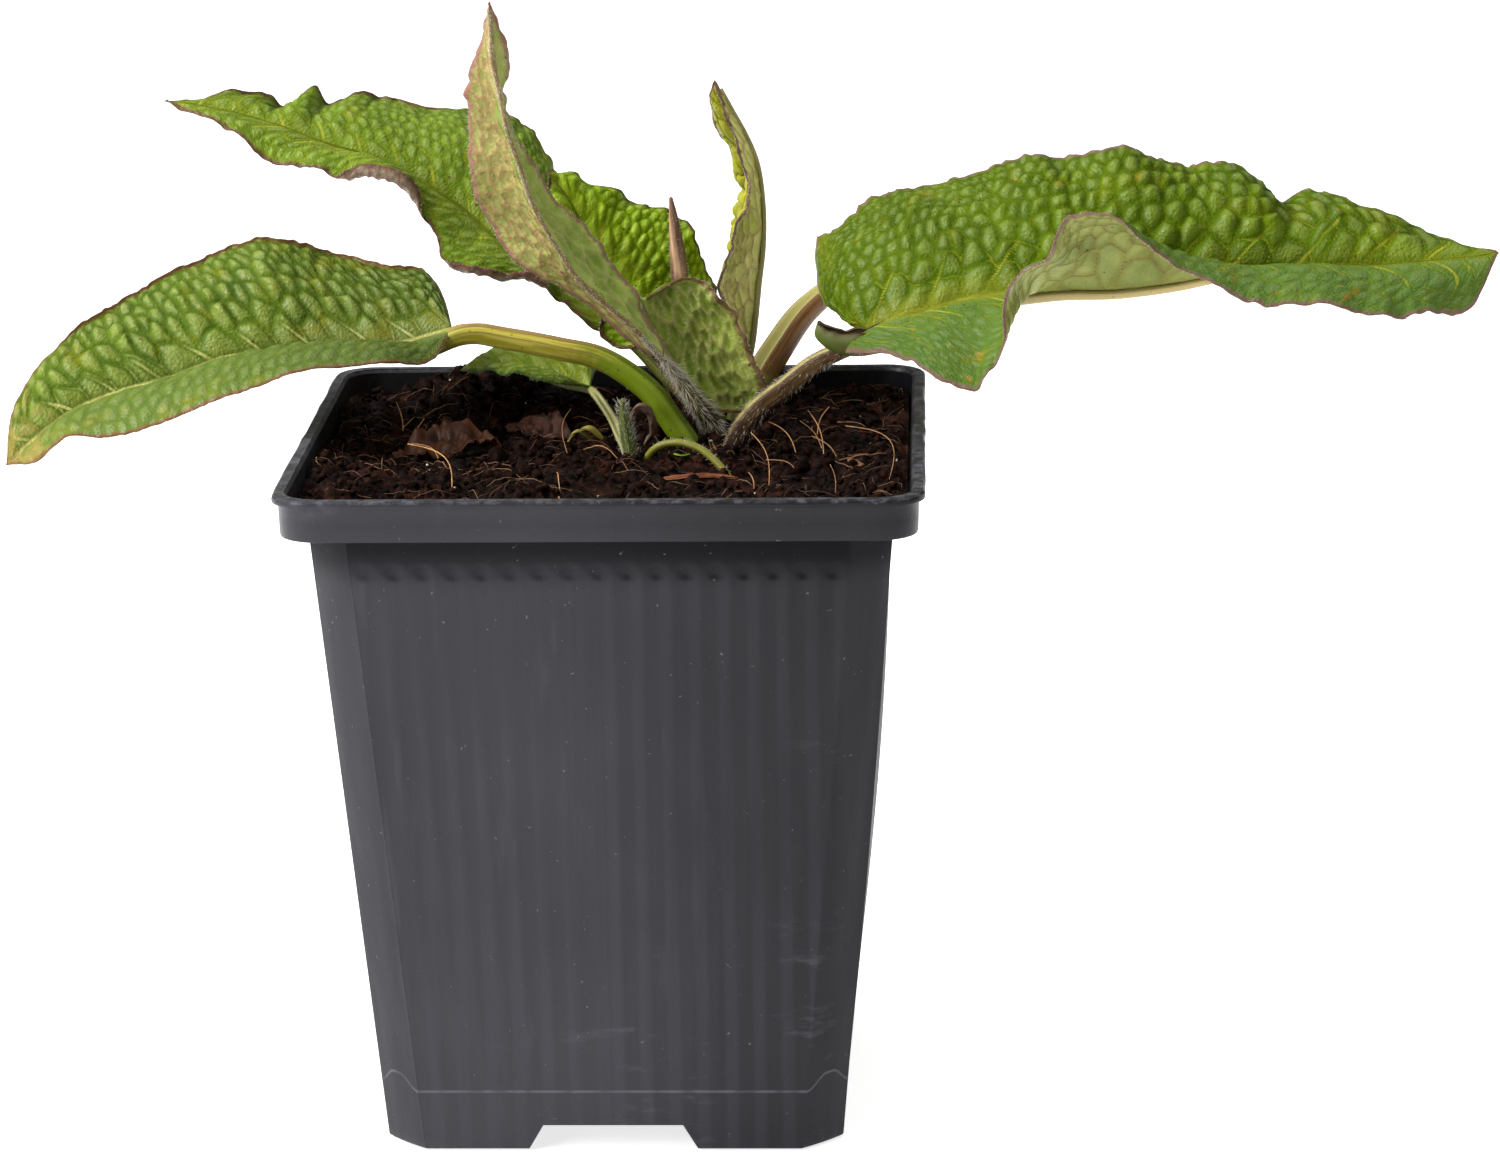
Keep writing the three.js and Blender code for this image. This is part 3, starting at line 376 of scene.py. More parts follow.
def grid_normals(points):
    normals = np.cross(np.gradient(points, axis=0), np.gradient(points, axis=1))
    normals[0], normals[-1] = normals[1], normals[-2]
    return unit(normals)


def ball_shape(rounds):
    shape = bmesh.new()
    bmesh.ops.create_icosphere(shape, subdivisions=rounds, radius=1.0)
    shape.verts.ensure_lookup_table()
    points = np.array([point.co for point in shape.verts])
    faces = np.array([[point.index for point in face.verts] for face in shape.faces])
    shape.free()
    return points, faces


def add_mesh(name, points, blocks, attributes=None):
    """An object from points in millimetres; each block is an array of faces with a material number."""
    mesh = bpy.data.meshes.new(name)
    faces = [face for block, _ in blocks for face in block.tolist()]
    mesh.from_pydata((np.asarray(points) * MM).tolist(), [], faces)
    numbers = np.concatenate([np.full(len(block), number) for block, number in blocks])
    mesh.polygons.foreach_set("material_index", numbers.astype(np.int32))
    mesh.polygons.foreach_set("use_smooth", np.ones(len(numbers), bool))
    for key, values in (attributes or {}).items():
        values = np.asarray(values, np.float32)
        kind, field = ("FLOAT", "value") if values.ndim == 1 else ("FLOAT_VECTOR", "vector")
        mesh.attributes.new(key, kind, "POINT").data.foreach_set(field, values.ravel())
    obj = bpy.data.objects.new(name, mesh)
    bpy.context.scene.collection.objects.link(obj)
    return obj


def finish_piece(obj, slot, paints, nodes=()):
    for paint in paints:
        obj.data.materials.append(paint.material)
    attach(obj, "root")
    if nodes:
        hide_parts(*nodes)


def mend(obj):
    """Joins points that lie on each other and turns every face outwards."""
    shape = bmesh.new()
    shape.from_mesh(obj.data)
    bmesh.ops.remove_doubles(shape, verts=shape.verts, dist=1e-6)
    bmesh.ops.dissolve_degenerate(shape, edges=shape.edges, dist=1e-7)
    bmesh.ops.recalc_face_normals(shape, faces=shape.faces)
    shape.to_mesh(obj.data)
    shape.free()


def loft(name, rings):
    """A closed object from rings of points, each turning left about the way to the next."""
    points = np.vstack(rings + [rings[0].mean(0, keepdims=True), rings[-1].mean(0, keepdims=True)])
    return add_mesh(name, points, [(block, 0) for block in tube_faces(len(rings), len(rings[0]))])


def drum(x, y, bottom, top, radius, sides=32):
    angle = around(sides)
    circle = np.stack([x + radius * np.cos(angle), y + radius * np.sin(angle), 0 * angle], -1)
    return loft("drum", [circle + (0, 0, bottom), circle + (0, 0, top)])


def combine(body, others, operation):
    """Adds closed objects to a body or cuts them from it, and removes them."""
    for other in others:
        change = body.modifiers.new("combine", "BOOLEAN")
        change.operation = operation
        change.solver = "MANIFOLD"
        change.object = other
    graph = bpy.context.evaluated_depsgraph_get()
    mesh = bpy.data.meshes.new_from_object(body.evaluated_get(graph))
    mesh.materials.clear()
    body.modifiers.clear()
    body.data = mesh
    for other in others:
        bpy.data.objects.remove(other)


class Build:
    """Collects closed shapes for one object, with a material number and a tone for each."""

    def __init__(self):
        self.points, self.blocks, self.tones = [], [], []
        self.count = 0

    def add(self, points, faces, material=0, tone=0.5):
        self.points.append(points)
        self.blocks += [(block + self.count, material) for block in faces]
        self.tones.append(np.broadcast_to(tone, (len(points),)))
        self.count += len(points)

    def tube(self, route, radii, sides, material, tone):
        """A tube along a route, narrowing to a point at both ends."""
        route = np.asarray(route, float)
        radii = np.broadcast_to(radii if radii.ndim == 2 else radii[:, None], (len(route), sides))
        along = unit(np.gradient(route, axis=0))
        start = np.cross(along[0], (0.3, 0.2, 1))
        side = carried_sides(along, start if np.linalg.norm(start) > 0.1 else (1, 0, 0))
        ring = circles(side, np.cross(along, side), sides)
        points = (route[:, None] + ring * radii[..., None]).reshape(-1, 3)
        tips = [route[0] - along[0] * radii[0, 0], route[-1] + along[-1] * radii[-1, 0]]
        self.add(np.vstack([points, tips]), tube_faces(len(route), sides), material, tone)

    def sheet(self, upper, under, tone):
        """A closed thin sheet between two grids of points."""
        rows, columns = upper.shape[:2]
        count = rows * columns
        top = grid_faces(rows, columns)
        rim = border(rows, columns)
        following = np.roll(rim, -1)
        side = np.stack([rim, rim + count, following + count, following], -1)
        self.add(np.vstack([upper.reshape(-1, 3), under.reshape(-1, 3)]),
                 [top[:, ::-1], top + count, side], 0,
                 np.tile(np.broadcast_to(tone, (rows, columns)).ravel(), 2))

    def thin_sheet(self, surface, rows, columns, thickness, tone):
        """A sheet over a surface given for u from 0 to 1 and v from -1 to 1."""
        u, v = np.meshgrid(np.linspace(0.015, 0.985, rows), np.linspace(-1, 1, columns), indexing="ij")
        middle = surface(u, v)
        normals = grid_normals(middle) * thickness / 2
        self.sheet(middle + normals, middle - normals, tone)

    def hairs(self, roots, directions, lengths, radii, material=1, droop=-0.15):
        """Fine hairs, each a bent cone of ten triangles."""
        directions = unit(directions)
        lengths = np.broadcast_to(lengths, (len(roots),))[:, None]
        radii = np.broadcast_to(radii, (len(roots),))[:, None, None]
        steep = np.abs(directions[:, 2:]) > 0.9
        side = unit(np.cross(directions, np.where(steep, (1, 0, 0), (0, 0, 1))))
        ring = circles(side, np.cross(directions, side), 3)
        middle = roots + directions * lengths * 0.5
        tip = middle + unit(directions + (0, 0, droop)) * lengths * 0.5
        points = np.concatenate([roots[:, None] + ring * radii, middle[:, None] + ring * radii * 0.7,
                                 tip[:, None]], axis=1)
        start = np.arange(len(roots))[:, None, None] * 7
        quads = np.array([[k, (k + 1) % 3, (k + 1) % 3 + 3, k + 3] for k in range(3)])
        tips = np.array([[3, 4, 6], [4, 5, 6], [5, 3, 6], [2, 1, 0]])
        faces = [(quads + start).reshape(-1, 4), (tips + start).reshape(-1, 3)]
        self.add(points.reshape(-1, 3), faces, material)

    def make(self, name, extra=None):
        attributes = {"tone": np.concatenate(self.tones), **(extra or {})}
        return add_mesh(name, np.vstack(self.points), self.blocks, attributes)


# Materials


def rgb(red, green, blue):
    """A colour given as on a screen, turned into light values."""
    def light(value):
        value /= 255
        return value / 12.92 if value <= 0.04045 else ((value + 0.055) / 1.055) ** 2.4
    return (light(red), light(green), light(blue), 1.0)


class Value:
    """What comes out of a shader node, with sums and products that add nodes."""

    def __init__(self, shader, socket):
        self.shader = shader
        self.socket = socket

    def __add__(self, other):
        return self.shader.math("ADD", self, other)

    def __sub__(self, other):
        return self.shader.math("SUBTRACT", self, other)

    def __rsub__(self, other):
        return self.shader.math("SUBTRACT", other, self)

    def __mul__(self, other):
        return self.shader.math("MULTIPLY", self, other)

    def __truediv__(self, other):
        return self.shader.math("DIVIDE", self, other)

    def __abs__(self):
        return self.shader.math("ABSOLUTE", self)


class Shader:
    """A material with a Principled surface and short ways to add nodes."""

    def __init__(self, name, **settings):
        self.material = bpy.data.materials.new(name)
        self.material.use_nodes = True
        self.tree = self.material.node_tree
        for key, value in settings.items():
            self.put(key.replace("_", " "), value)

    def set(self, socket, value):
        if isinstance(value, Value):
            self.tree.links.new(value.socket, socket)
        else:
            socket.default_value = value

    def put(self, key, value):
        self.set(self.tree.nodes["Principled BSDF"].inputs[key], value)

    def new(self, kind, inputs, **settings):
        node = self.tree.nodes.new(kind)
        for key, value in settings.items():
            setattr(node, key, value)
        for key, value in inputs.items():
            self.set(node.inputs[key], value)
        return node.outputs

    def node(self, kind, inputs, output=0, **settings):
        return Value(self, self.new(kind, inputs, **settings)[output])

    def math(self, operation, *values):
        return self.node("ShaderNodeMath", dict(enumerate(values)), operation=operation)

    def step(self, value, low, high, start=0.0, end=1.0):
        inputs = {"Value": value, "From Min": low, "From Max": high, "To Min": start, "To Max": end}
        return self.node("ShaderNodeMapRange", inputs, interpolation_type="SMOOTHSTEP")

    def mix(self, factor, a, b):
        """A colour between two, each another mix or a colour as on a screen."""
        a, b = (rgb(*colour) if isinstance(colour, tuple) else colour for colour in (a, b))
        return self.node("ShaderNodeMix", {0: factor, 6: a, 7: b}, output=2, data_type="RGBA")

    def layers(self, colour, *layers):
        """A colour with others laid over it, each with its own share."""
        for share, tint in layers:
            colour = self.mix(share, colour, tint)
        return colour

    def attribute(self, name, output="Fac"):
        return self.node("ShaderNodeAttribute", {}, output, attribute_name=name)

    def split(self, vector):
        return [Value(self, socket) for socket in self.new("ShaderNodeSeparateXYZ", {0: vector})]

    def place(self):
        return self.node("ShaderNodeTexCoord", {}, "Object")

    def noise(self, vector, scale, detail=3.0, roughness=0.55):
        """Noise of one scale, or of three scales along the vector's axes."""
        if isinstance(scale, tuple):
            vector, scale = self.node("ShaderNodeMapping", {"Vector": vector, "Scale": scale}), 1.0
        inputs = {"Vector": vector, "Scale": scale, "Detail": detail, "Roughness": roughness}
        return self.node("ShaderNodeTexNoise", inputs)

    def cells(self, vector, scale):
        return self.node("ShaderNodeTexVoronoi", {"Vector": vector, "Scale": scale}, "Distance")

    def bump(self, height, distance, strength):
        inputs = {"Height": height, "Distance": distance, "Strength": strength}
        self.put("Normal", self.node("ShaderNodeBump", inputs))


# Camera, light and floor

CAMERA_PLACE = (55.5464, -871.7052, 314.0454)
CAMERA_YAW = 0.0366
CAMERA_PITCH = 0.2482
CAMERA_ROLL = -0.0129
CAMERA_LENS = 121.564
FLOOR_HALF = 6000
FLOOR_LEVEL = -0.3


def add_camera():
    yaw, pitch = CAMERA_YAW, CAMERA_PITCH
    forward = Vector((-math.sin(yaw) * math.cos(pitch), math.cos(yaw) * math.cos(pitch),
                      -math.sin(pitch)))
    right = Vector((math.cos(yaw), math.sin(yaw), 0))
    up = right.cross(forward)
    cosine, sine = math.cos(CAMERA_ROLL), math.sin(CAMERA_ROLL)
    across, above = cosine * right + sine * up, cosine * up - sine * right
    data = bpy.data.cameras.new("camera")
    data.sensor_width = 36
    data.lens = CAMERA_LENS
    data.clip_start = 0.05
    data.clip_end = 20
    camera = bpy.data.objects.new("camera", data)
    turn = Matrix((across, above, -forward)).transposed()
    camera.matrix_world = Matrix.LocRotScale(Vector(CAMERA_PLACE) * MM, turn.to_quaternion(), None)
    bpy.context.scene.collection.objects.link(camera)
    bpy.context.scene.camera = camera


def add_light(name, place, target, side, power):
    """A square area light; its place, target and side are in metres."""
    data = bpy.data.lights.new(name, "AREA")
    data.size = side
    data.energy = power
    light = bpy.data.objects.new(name, data)
    light.location = place
    light.rotation_mode = "QUATERNION"
    light.rotation_quaternion = (Vector(target) - Vector(place)).to_track_quat("-Z", "Y")
    bpy.context.scene.collection.objects.link(light)


def add_studio():
    world = bpy.data.worlds.new("studio")
    world.use_nodes = True
    background = world.node_tree.nodes["Background"]
    background.inputs["Color"].default_value = (1, 1, 1, 1)
    background.inputs["Strength"].default_value = 0.15
    bpy.context.scene.world = world
    bpy.context.scene.view_settings.view_transform = "Standard"
    middle = (0.02, 0, 0.12)
    add_light("ceiling", (0, 1.4, 3.0), (0, 1.4, 0), 6, 100)
    add_light("key", (-0.8, -0.05, 0.95), middle, 0.45, 15)
    add_light("fill", (-0.42, -0.42, 0.32), middle, 0.3, 2.0)
    paint = Shader("floor_paint", Roughness=0.9, Emission_Color=(1, 1, 1, 1), Emission_Strength=0.75)
    paint.put("Base Color", paint.mix(paint.noise(paint.place(), 3.0), (246, 246, 246), (250, 250, 250)))
    corners = [(x * FLOOR_HALF, y * FLOOR_HALF, FLOOR_LEVEL)
               for x, y in ((-1, -1), (1, -1), (1, 1), (-1, 1))]
    floor = add_mesh("floor", corners, [(np.array([[0, 1, 2, 3]]), 0)])
    floor.data.materials.append(paint.material)


add_camera()
add_studio()


# Pot

FLUTE_SAMPLES = 8
CORNER_SAMPLES = 8
FLUTE_HOLLOW = 0.13
DIMPLE_HEIGHT = 106.3
DIMPLE_DEPTH = 0.42
CUT_SOFTNESS = 0.15
SHARP_ANGLE = 33
LIP_WAVE = 0.0022
LIP_SAG = 0.1


def body_half(z):
    return BASE_HALF + (BODY_TOP_HALF - BASE_HALF) * z / (POT_HEIGHT - BAND_HEIGHT)


def flute_depth(place, width, z):
    """Depth of a face below its edges: soft flutes, each ending in a round dimple."""
    off = np.abs(place % 1 - 0.5) * width
    fade = smoothstep(SEAM_HEIGHT, FLUTE_FOOT, z) * (1 - smoothstep(DIMPLE_HEIGHT, DIMPLE_HEIGHT + 2, z))
    hollow = 1 - smoothstep(0.15 * width, 0.5 * width, off)
    dimple = 1 - smoothstep(0.8, 1.7, np.hypot(off, z - DIMPLE_HEIGHT))
    return FLUTE_HOLLOW * fade * hollow + DIMPLE_DEPTH * dimple


def turned(points, turn):
    """Points turned about the pot's axis by a number of quarter turns."""
    cosine, sine = round(math.cos(turn * math.pi / 2)), round(math.sin(turn * math.pi / 2))
    return np.asarray(points, float) @ np.array([[cosine, sine, 0], [-sine, cosine, 0], [0, 0, 1]])


def square_ring(half, z, corner, cut=False, fluted=False, bowed=False):
    """A square ring with rounded or cut corners, as in the part's source but finely sampled."""
    flat = half - corner
    share = np.linspace(0, 1, FLUTES * FLUTE_SAMPLES + 1)
    face = np.full(len(share), float(half))
    if fluted:
        face = face - flute_depth(share * FLUTES, 2 * flat / FLUTES, z)
    t = np.arange(1, CORNER_SAMPLES) / CORNER_SAMPLES
    angle = t * np.pi / 2
    softness = CUT_SOFTNESS if cut else 1.0
    corner_out = (half - corner * t) * (1 - softness) + (flat + corner * np.cos(angle)) * softness
    corner_across = (flat + corner * t) * (1 - softness) + (flat + corner * np.sin(angle)) * softness
    out = np.concatenate([face, corner_out])
    across = np.concatenate([flat * (2 * share - 1), corner_across])
    rise = min(max((z - FLUTE_FOOT) / (FLUTE_TOP - FLUTE_FOOT), 0), 1)
    bulge = WALL_BOW * math.sin(math.pi * rise) * np.maximum(0, 1 - (across / half) ** 2)
    bows = [bulge if bowed else 0, 0, 0, 0]
    return np.vstack([turned(np.stack([out + bow, across, np.full(len(out), float(z))], -1), turn)
                      for turn, bow in enumerate(bows)])


def add_pot():
    ledge = POT_HEIGHT - BAND_HEIGHT
    rings = [square_ring(half, z, CHAMFER, cut=True)
             for half, z in ((BASE_HALF - 0.4, 0), (BASE_HALF - 0.1, 0.15), (body_half(0.5), 0.5))]
    heights = np.concatenate([[2, 4.6, 7.5, 10.6, 11.4, 12.2, 14], np.arange(18, 102, 6), [102, 103.6],
                              np.arange(104.3, 108.6, 0.36), [109.5, 111, 112.1]])
    rings += [square_ring(body_half(z), z, CHAMFER, cut=True, fluted=True, bowed=True) for z in heights]
    rings.append(square_ring(body_half(ledge) + 0.1, ledge - 0.06, CHAMFER, cut=True))
    wave = lattice_noise(5, 7.0, 256)
    rim = [(BAND_HALF - 0.45, 0, 0), (BAND_HALF - 0.12, 0.12, 0), (BAND_HALF, 0.5, 0),
           (BAND_HALF + 0.08, 3, 0), (BAND_HALF + 0.16, 5.8, 0), (BAND_HALF + 0.3, 6.1, 0.2),
           (LIP_HALF - 0.25, 6.22, 0.7), (LIP_HALF - 0.04, 6.4, 1), (LIP_HALF, 6.8, 1),
           (LIP_HALF - 0.12, 7.25, 1), (LIP_HALF - 0.5, 7.5, 0.6), (LIP_HALF - 1.0, 7.42, 0.3)]
    for half, up, shake in rim:
        ring = square_ring(half, ledge + up, LIP_CORNER)
        bend = wave(ring[:, 0] * 1.3 + 3, ring[:, 1] * 1.3)
        ring[:, :2] *= 1 + shake * LIP_WAVE * (bend - 1)[:, None]
        ring[:, 2] += shake * LIP_SAG * (wave(ring[:, 1] + 50, ring[:, 0]) - 1)
        rings.append(ring)
    pot = loft("nursery_pot", rings)

    floor = FOOT_HEIGHT + WALL
    inner = [square_ring(body_half(z) - FLUTE_DEPTH - WALL, z, CHAMFER - 1, cut=True, bowed=True)
             for z in (floor, FLUTE_FOOT, 40, 60, 80, FLUTE_TOP, ledge + LEDGE)]
    inner += [square_ring(BAND_HALF - WALL + wider, z, LIP_CORNER - corner)
              for wider, z, corner in ((0, ledge + LEDGE + 0.1, 1), (0, 119.2, 1),
                                       (0.45, 119.75, 0.6), (0.5, 122, 0.6))]
    cutters = [loft("room", inner)]
    low, high = CHANNEL_HALF_BOTTOM + WALL, BASE_HALF - FLUTE_DEPTH - WALL
    pocket = [(low, low, 0), (high, low, 0), (high, high - CHAMFER, 0), (high - CHAMFER, high, 0),
              (low, high, 0)]
    channel = [(-LIP_HALF, -CHANNEL_HALF_BOTTOM - 0.6, -1), (-LIP_HALF, CHANNEL_HALF_BOTTOM + 0.6, -1),
               (-LIP_HALF, CHANNEL_HALF_TOP, FOOT_HEIGHT), (-LIP_HALF, -CHANNEL_HALF_TOP, FOOT_HEIGHT)]
    for turn in range(4):
        foot = turned(pocket, turn)
        cutters.append(loft("pocket", [foot + (0, 0, WALL), foot + (0, 0, floor + 1)]))
    for turn in range(2):
        ends = (np.array(channel) + (across, 0, 0) for across in (0, 2 * LIP_HALF))
        cutters.append(loft("channel", [turned(end, turn) for end in ends]))
    combine(pot, cutters, "DIFFERENCE")
    combine(pot, [drum(0, 0, 0, FOOT_HEIGHT + 0.5, PAD_RADIUS, 64)], "UNION")
    drains = []
    for angle in np.arange(4) * math.pi / 2:
        for way, reach, top in ((angle, DRAIN_REACH, floor + 1),
                                (angle + math.pi / 4, 1.5 * DRAIN_REACH, WALL + 1)):
            drains.append(drum(reach * math.cos(way), reach * math.sin(way), -1, top, DRAIN_RADIUS))
    combine(pot, drains, "DIFFERENCE")
    faces = pot.data.polygons
    faces.foreach_set("use_smooth", np.ones(len(faces), bool))
    faces.foreach_set("material_index", np.zeros(len(faces), np.int32))
    pot.data.set_sharp_from_angle(angle=math.radians(SHARP_ANGLE))
    return pot


def pot_paint():
    """Dark moulded plastic: fine streaks, scuffs, pale stains, a pale seam and a few specks, with
    painted shade under the band, on the cut corners and towards +x, and painted highlights on the flutes
    and the lip. Places are metres.
    """
    paint = Shader("pot_plastic")
    step, noise = paint.step, paint.noise
    place = paint.place()
    x, y, z = paint.split(place)
    wide = noise(place, 14.0, 3.0)
    streak = noise(place, (220.0, 220.0, 26.0), 4.0)
    # patches for the pale stains on the band and for breaking up the painted highlight on the lip
    stains_and_lip_glint = step(noise(place, 520.0, 4.0, 0.7), 0.42, 0.66)
    band = step(z, 0.1122, 0.1128)
    # painted shadow on the body just under the band's overhang
    shaded = step(z, 0.1015, 0.111) - band
    flat = paint.math("MINIMUM", abs(x), abs(y))
    # painted highlights: lighter lines along the flutes, below the dimples
    flute_highlight = step(paint.math("SINE", flat * (2 * math.pi * FLUTES / 0.0836)), -0.4, 0.8)
    flute_highlight = flute_highlight * step(z, 0.1062, 0.1052) * step(wide, 0.3, 0.7, 0.3, 1.0)
    # painted shade on the cut corners of the body
    corner = step(flat - z * 0.0844, 0.0325, 0.0335) * (1.0 - band)
    smear = step(wide, 0.5, 0.64) * step(stains_and_lip_glint, 0.0, 1.0, 0.3, 1.0) * band
    off_seam = abs(z - SEAM_HEIGHT * MM - step(flat, 0.0339, 0.0374, 0.0, 0.0026))
    broken = step(noise(place, 420.0, 3.0), 0.35, 0.6, 0.45, 1.0)
    scuff = step(noise(place, (60.0, 60.0, 190.0), 6.0, 0.7), 0.58, 0.72)
    paint.put("Base Color", paint.layers(
        paint.mix(step(wide, 0.3, 0.7), (47, 46, 51), (55, 54, 60)),
        (step(streak, 0.55, 0.8, 0.0, 0.35), (80, 79, 86)),
        # painted shade: the pot darker towards +x, where less light falls
        (step(x, -0.015, 0.034) * 0.8, (22, 21, 25)),
        (band * 0.25, (22, 21, 25)),
        (shaded * 0.8, (10, 10, 12)),
        (flute_highlight * 0.08, (92, 91, 100)),
        (corner * 0.62, (24, 24, 29)),
        # painted highlight along the top edge of the lip
        (step(z, 0.1192, 0.1196) * stains_and_lip_glint * 0.35, (124, 124, 134)),
        (smear * 0.22, (112, 112, 124)),
        (step(off_seam, 0.00035, 0.00012) * broken * 0.26, (130, 130, 138)),
        (scuff * step(wide, 0.46, 0.62) * 0.13, (120, 120, 130)),
        (step(noise(place, 900.0, 2.0), 0.72, 0.78) * 0.3, (150, 140, 128))))
    # less reflection in the painted shadow under the band
    paint.put("Specular IOR Level", step(shaded, 0.0, 1.0, 0.18, 0.06))
    paint.put("Roughness", step(streak, 0.3, 0.7, 0.42, 0.56) - band * 0.14)
    paint.bump(noise(place, 1500.0, 2.0) + streak * 2.0, 0.00006, 0.5)
    return paint


finish_piece(add_pot(), "pot_plastic", [pot_paint()], ["pot"])


# Soil

LUMP_GRID = 32


def part_random(seed, count):
    """The same repeatable random numbers as in the part's source."""
    whole = 0xffffffff
    state = seed
    values = []
    for _ in range(count):
        state = (state + 0x6d2b79f5) & whole
        t = ((state ^ (state >> 15)) * (1 | state)) & whole
        t = ((t + (((t ^ (t >> 7)) * (61 | t)) & whole)) & whole) ^ t
        values.append(((t ^ (t >> 14)) & whole) / 4294967296)
    return np.array(values)


def lumps(seed, pitch):
    return lattice(part_random(seed, LUMP_GRID ** 2).reshape(LUMP_GRID, LUMP_GRID) * 2 - 1, pitch)


coarse_lumps = lumps(7, SOIL_LUMP)
fine_lumps = lumps(19, SOIL_LUMP / 2)


def soil_height(x, y):
    """Height of the soil's surface, as in the part's source."""
    x, y = np.asarray(x, float), np.asarray(y, float)
    edge = smoothstep(38, 48, np.maximum(np.abs(x), np.abs(y)))
    z = SOIL_LEVEL + SOIL_EDGE_RISE * edge
    z = z + SOIL_ROUGHNESS * (1 - 0.6 * edge) * (0.5 * coarse_lumps(x, y) + 0.35 * fine_lumps(x, y))
    for hx, hy, height, radius in SOIL_HEAPS:
        z = z + height * np.exp(-((x - hx) ** 2 + (y - hy) ** 2) / radius ** 2)
    return z


def facet_height(x, y):
    """Height of the part's own soil, which is flat between the points of a coarse lattice."""
    step = 2 * LIP_HALF / SOIL_CELLS
    gx, gy = (x + LIP_HALF) / step, (y + LIP_HALF) / step
    ix, iy = np.clip(np.floor(gx), 0, SOIL_CELLS - 1), np.clip(np.floor(gy), 0, SOIL_CELLS - 1)
    fx, fy = gx - ix, gy - iy

    def at(i, j):
        return soil_height((ix + i) * step - LIP_HALF, (iy + j) * step - LIP_HALF)

    corner, far, right, left = at(0, 0), at(1, 1), at(1, 0), at(0, 1)
    return corner + np.where(fx >= fy, fx * (right - corner) + fy * (far - right),
                             fy * (left - corner) + fx * (far - left))


# Routes of the small stems, and of the side root that comes up out of the soil
SPEAR = [(13, 30, 108), (12.5, 30.5, 116), (11.5, 31, 124), (10.5, 32, 133), (10.5, 32, 140),
         (10, 32, 146), (9.5, 32, 151), (9, 32, 155.5)]
SHOOT = [(3.5, 2, 108), (3, 2.5, 113), (2.2, 3, 117), (1.6, 3.4, 121), (1.3, 3.6, 124.5)]
ARCH = [(4.5, -0.8, 109), (5, -0.8, 113), (7, -1.5, 116.5), (11, -2.6, 118), (15, -4.4, 117.4),
        (18.5, -7, 115.2), (21.5, -10, 112.4)]
SEEDLING = [(-3.5, 16, 109), (-4, 15, 113), (-5.5, 13.5, 115.5), (-7, 12.5, 116.8)]
SPROUT = [(12, 2, 109), (12, 2, 113), (11.8, 1.8, 114.2)]
SURFACE_ROOT = [(22, 16, 101), (30, 9, 104), (36, 4, 110), (40, 0, 113.4), (44, -8, 114),
                (45, -16, 112), (44, -20, 108)]

# Whatever stands in the soil: a route and its radius near the surface
STANDING = [(leaf["stalk"], leaf["radii"][0]) for leaf in LEAVES.values()]
STANDING += [(SPEAR[:3], 1.1), (SHOOT[:3], 1.2), (ARCH[:3], 0.7), (ARCH[-3:], 0.7),
             (SEEDLING[:3], 0.6), (SPROUT, 0.6), (SURFACE_ROOT[2:6], 1.0),
             ([(4.6, 8.6, 109), (4.8, 8.8, 112.5), (5.2, 9, 115.2), (6.2, 9.2, 117)], 0.8)]
# Dry pieces on the soil: place, turn and half-sizes of the patch they cover
LYING = [(-31, 8, 15, 10.5, 5.5), (-15, 19, -28, 6.5, 4), (15, -14, 6, 7.5, 1.4)]
FAR_OFF = 50.0


def room_left(points):
    """How far points are from whatever stands or lies in the soil."""
    nearest = np.full(len(points), FAR_OFF)
    for route, radius in STANDING:
        route = np.asarray(route, float)
        for a, b in zip(route[:-1], route[1:]):
            along = np.clip((points - a) @ (b - a) / ((b - a) @ (b - a)), 0, 1)[:, None]
            nearest = np.minimum(nearest, np.linalg.norm(points - a - along * (b - a), axis=1) - radius)
    for x, y, turn, half_length, half_width in LYING:
        cosine, sine = math.cos(math.radians(turn)), math.sin(math.radians(turn))
        dx, dy = points[:, 0] - x, points[:, 1] - y
        u, v = dx * cosine + dy * sine, dy * cosine - dx * sine
        ratio = np.sqrt((u / half_length) ** 2 + (v / half_width) ** 2)
        nearest = np.minimum(nearest, (ratio - 1) * half_width)
    return nearest


# The fine soil surface: its steps, half-width, corners and foot, how far it lies over the part's own,
# and how far it dips below that round what stands there; then crumbs and fibres and how they lie
SOIL_STEP = 0.55
SOIL_HALF = 51.8
SOIL_CORNER = 6
SOIL_FOOT = 113.45
SOIL_OVER = 0.12
SOIL_SUNK = 0.9
CRUMB_HALF = SOIL_HALF - 1.5
FIBRE_HALF = SOIL_HALF - 2
FIBRE_SIDES = 5
FIBRE_ROOM = 0.35
FULL_TURN = 6.3
rough_wide = lattice_noise(31, 6.5, 128)
rough_middle = lattice_noise(32, 2.2, 128)
rough_fine = lattice_noise(33, 0.85, 256)


def top_height(x, y):
    """Height of the fine soil surface, which lies over the part's own."""
    detail = (0.6 + 0.9 * rough_wide(x, y) + 1.3 * np.abs(rough_middle(x, y))
              + 0.9 * rough_fine(x, y))
    return facet_height(x, y) + SOIL_OVER + np.maximum(detail, 0)


def inside_pot(x, y, half):
    """Moves places beyond the rounded square back onto its edge."""
    straight = half - SOIL_CORNER
    beyond_x, beyond_y = np.maximum(np.abs(x) - straight, 0), np.maximum(np.abs(y) - straight, 0)
    reach = np.hypot(beyond_x, beyond_y)
    shrink = np.minimum(1, SOIL_CORNER / np.maximum(reach, 1e-6))
    return (np.sign(x) * (np.minimum(np.abs(x), straight) + beyond_x * shrink),
            np.sign(y) * (np.minimum(np.abs(y), straight) + beyond_y * shrink))


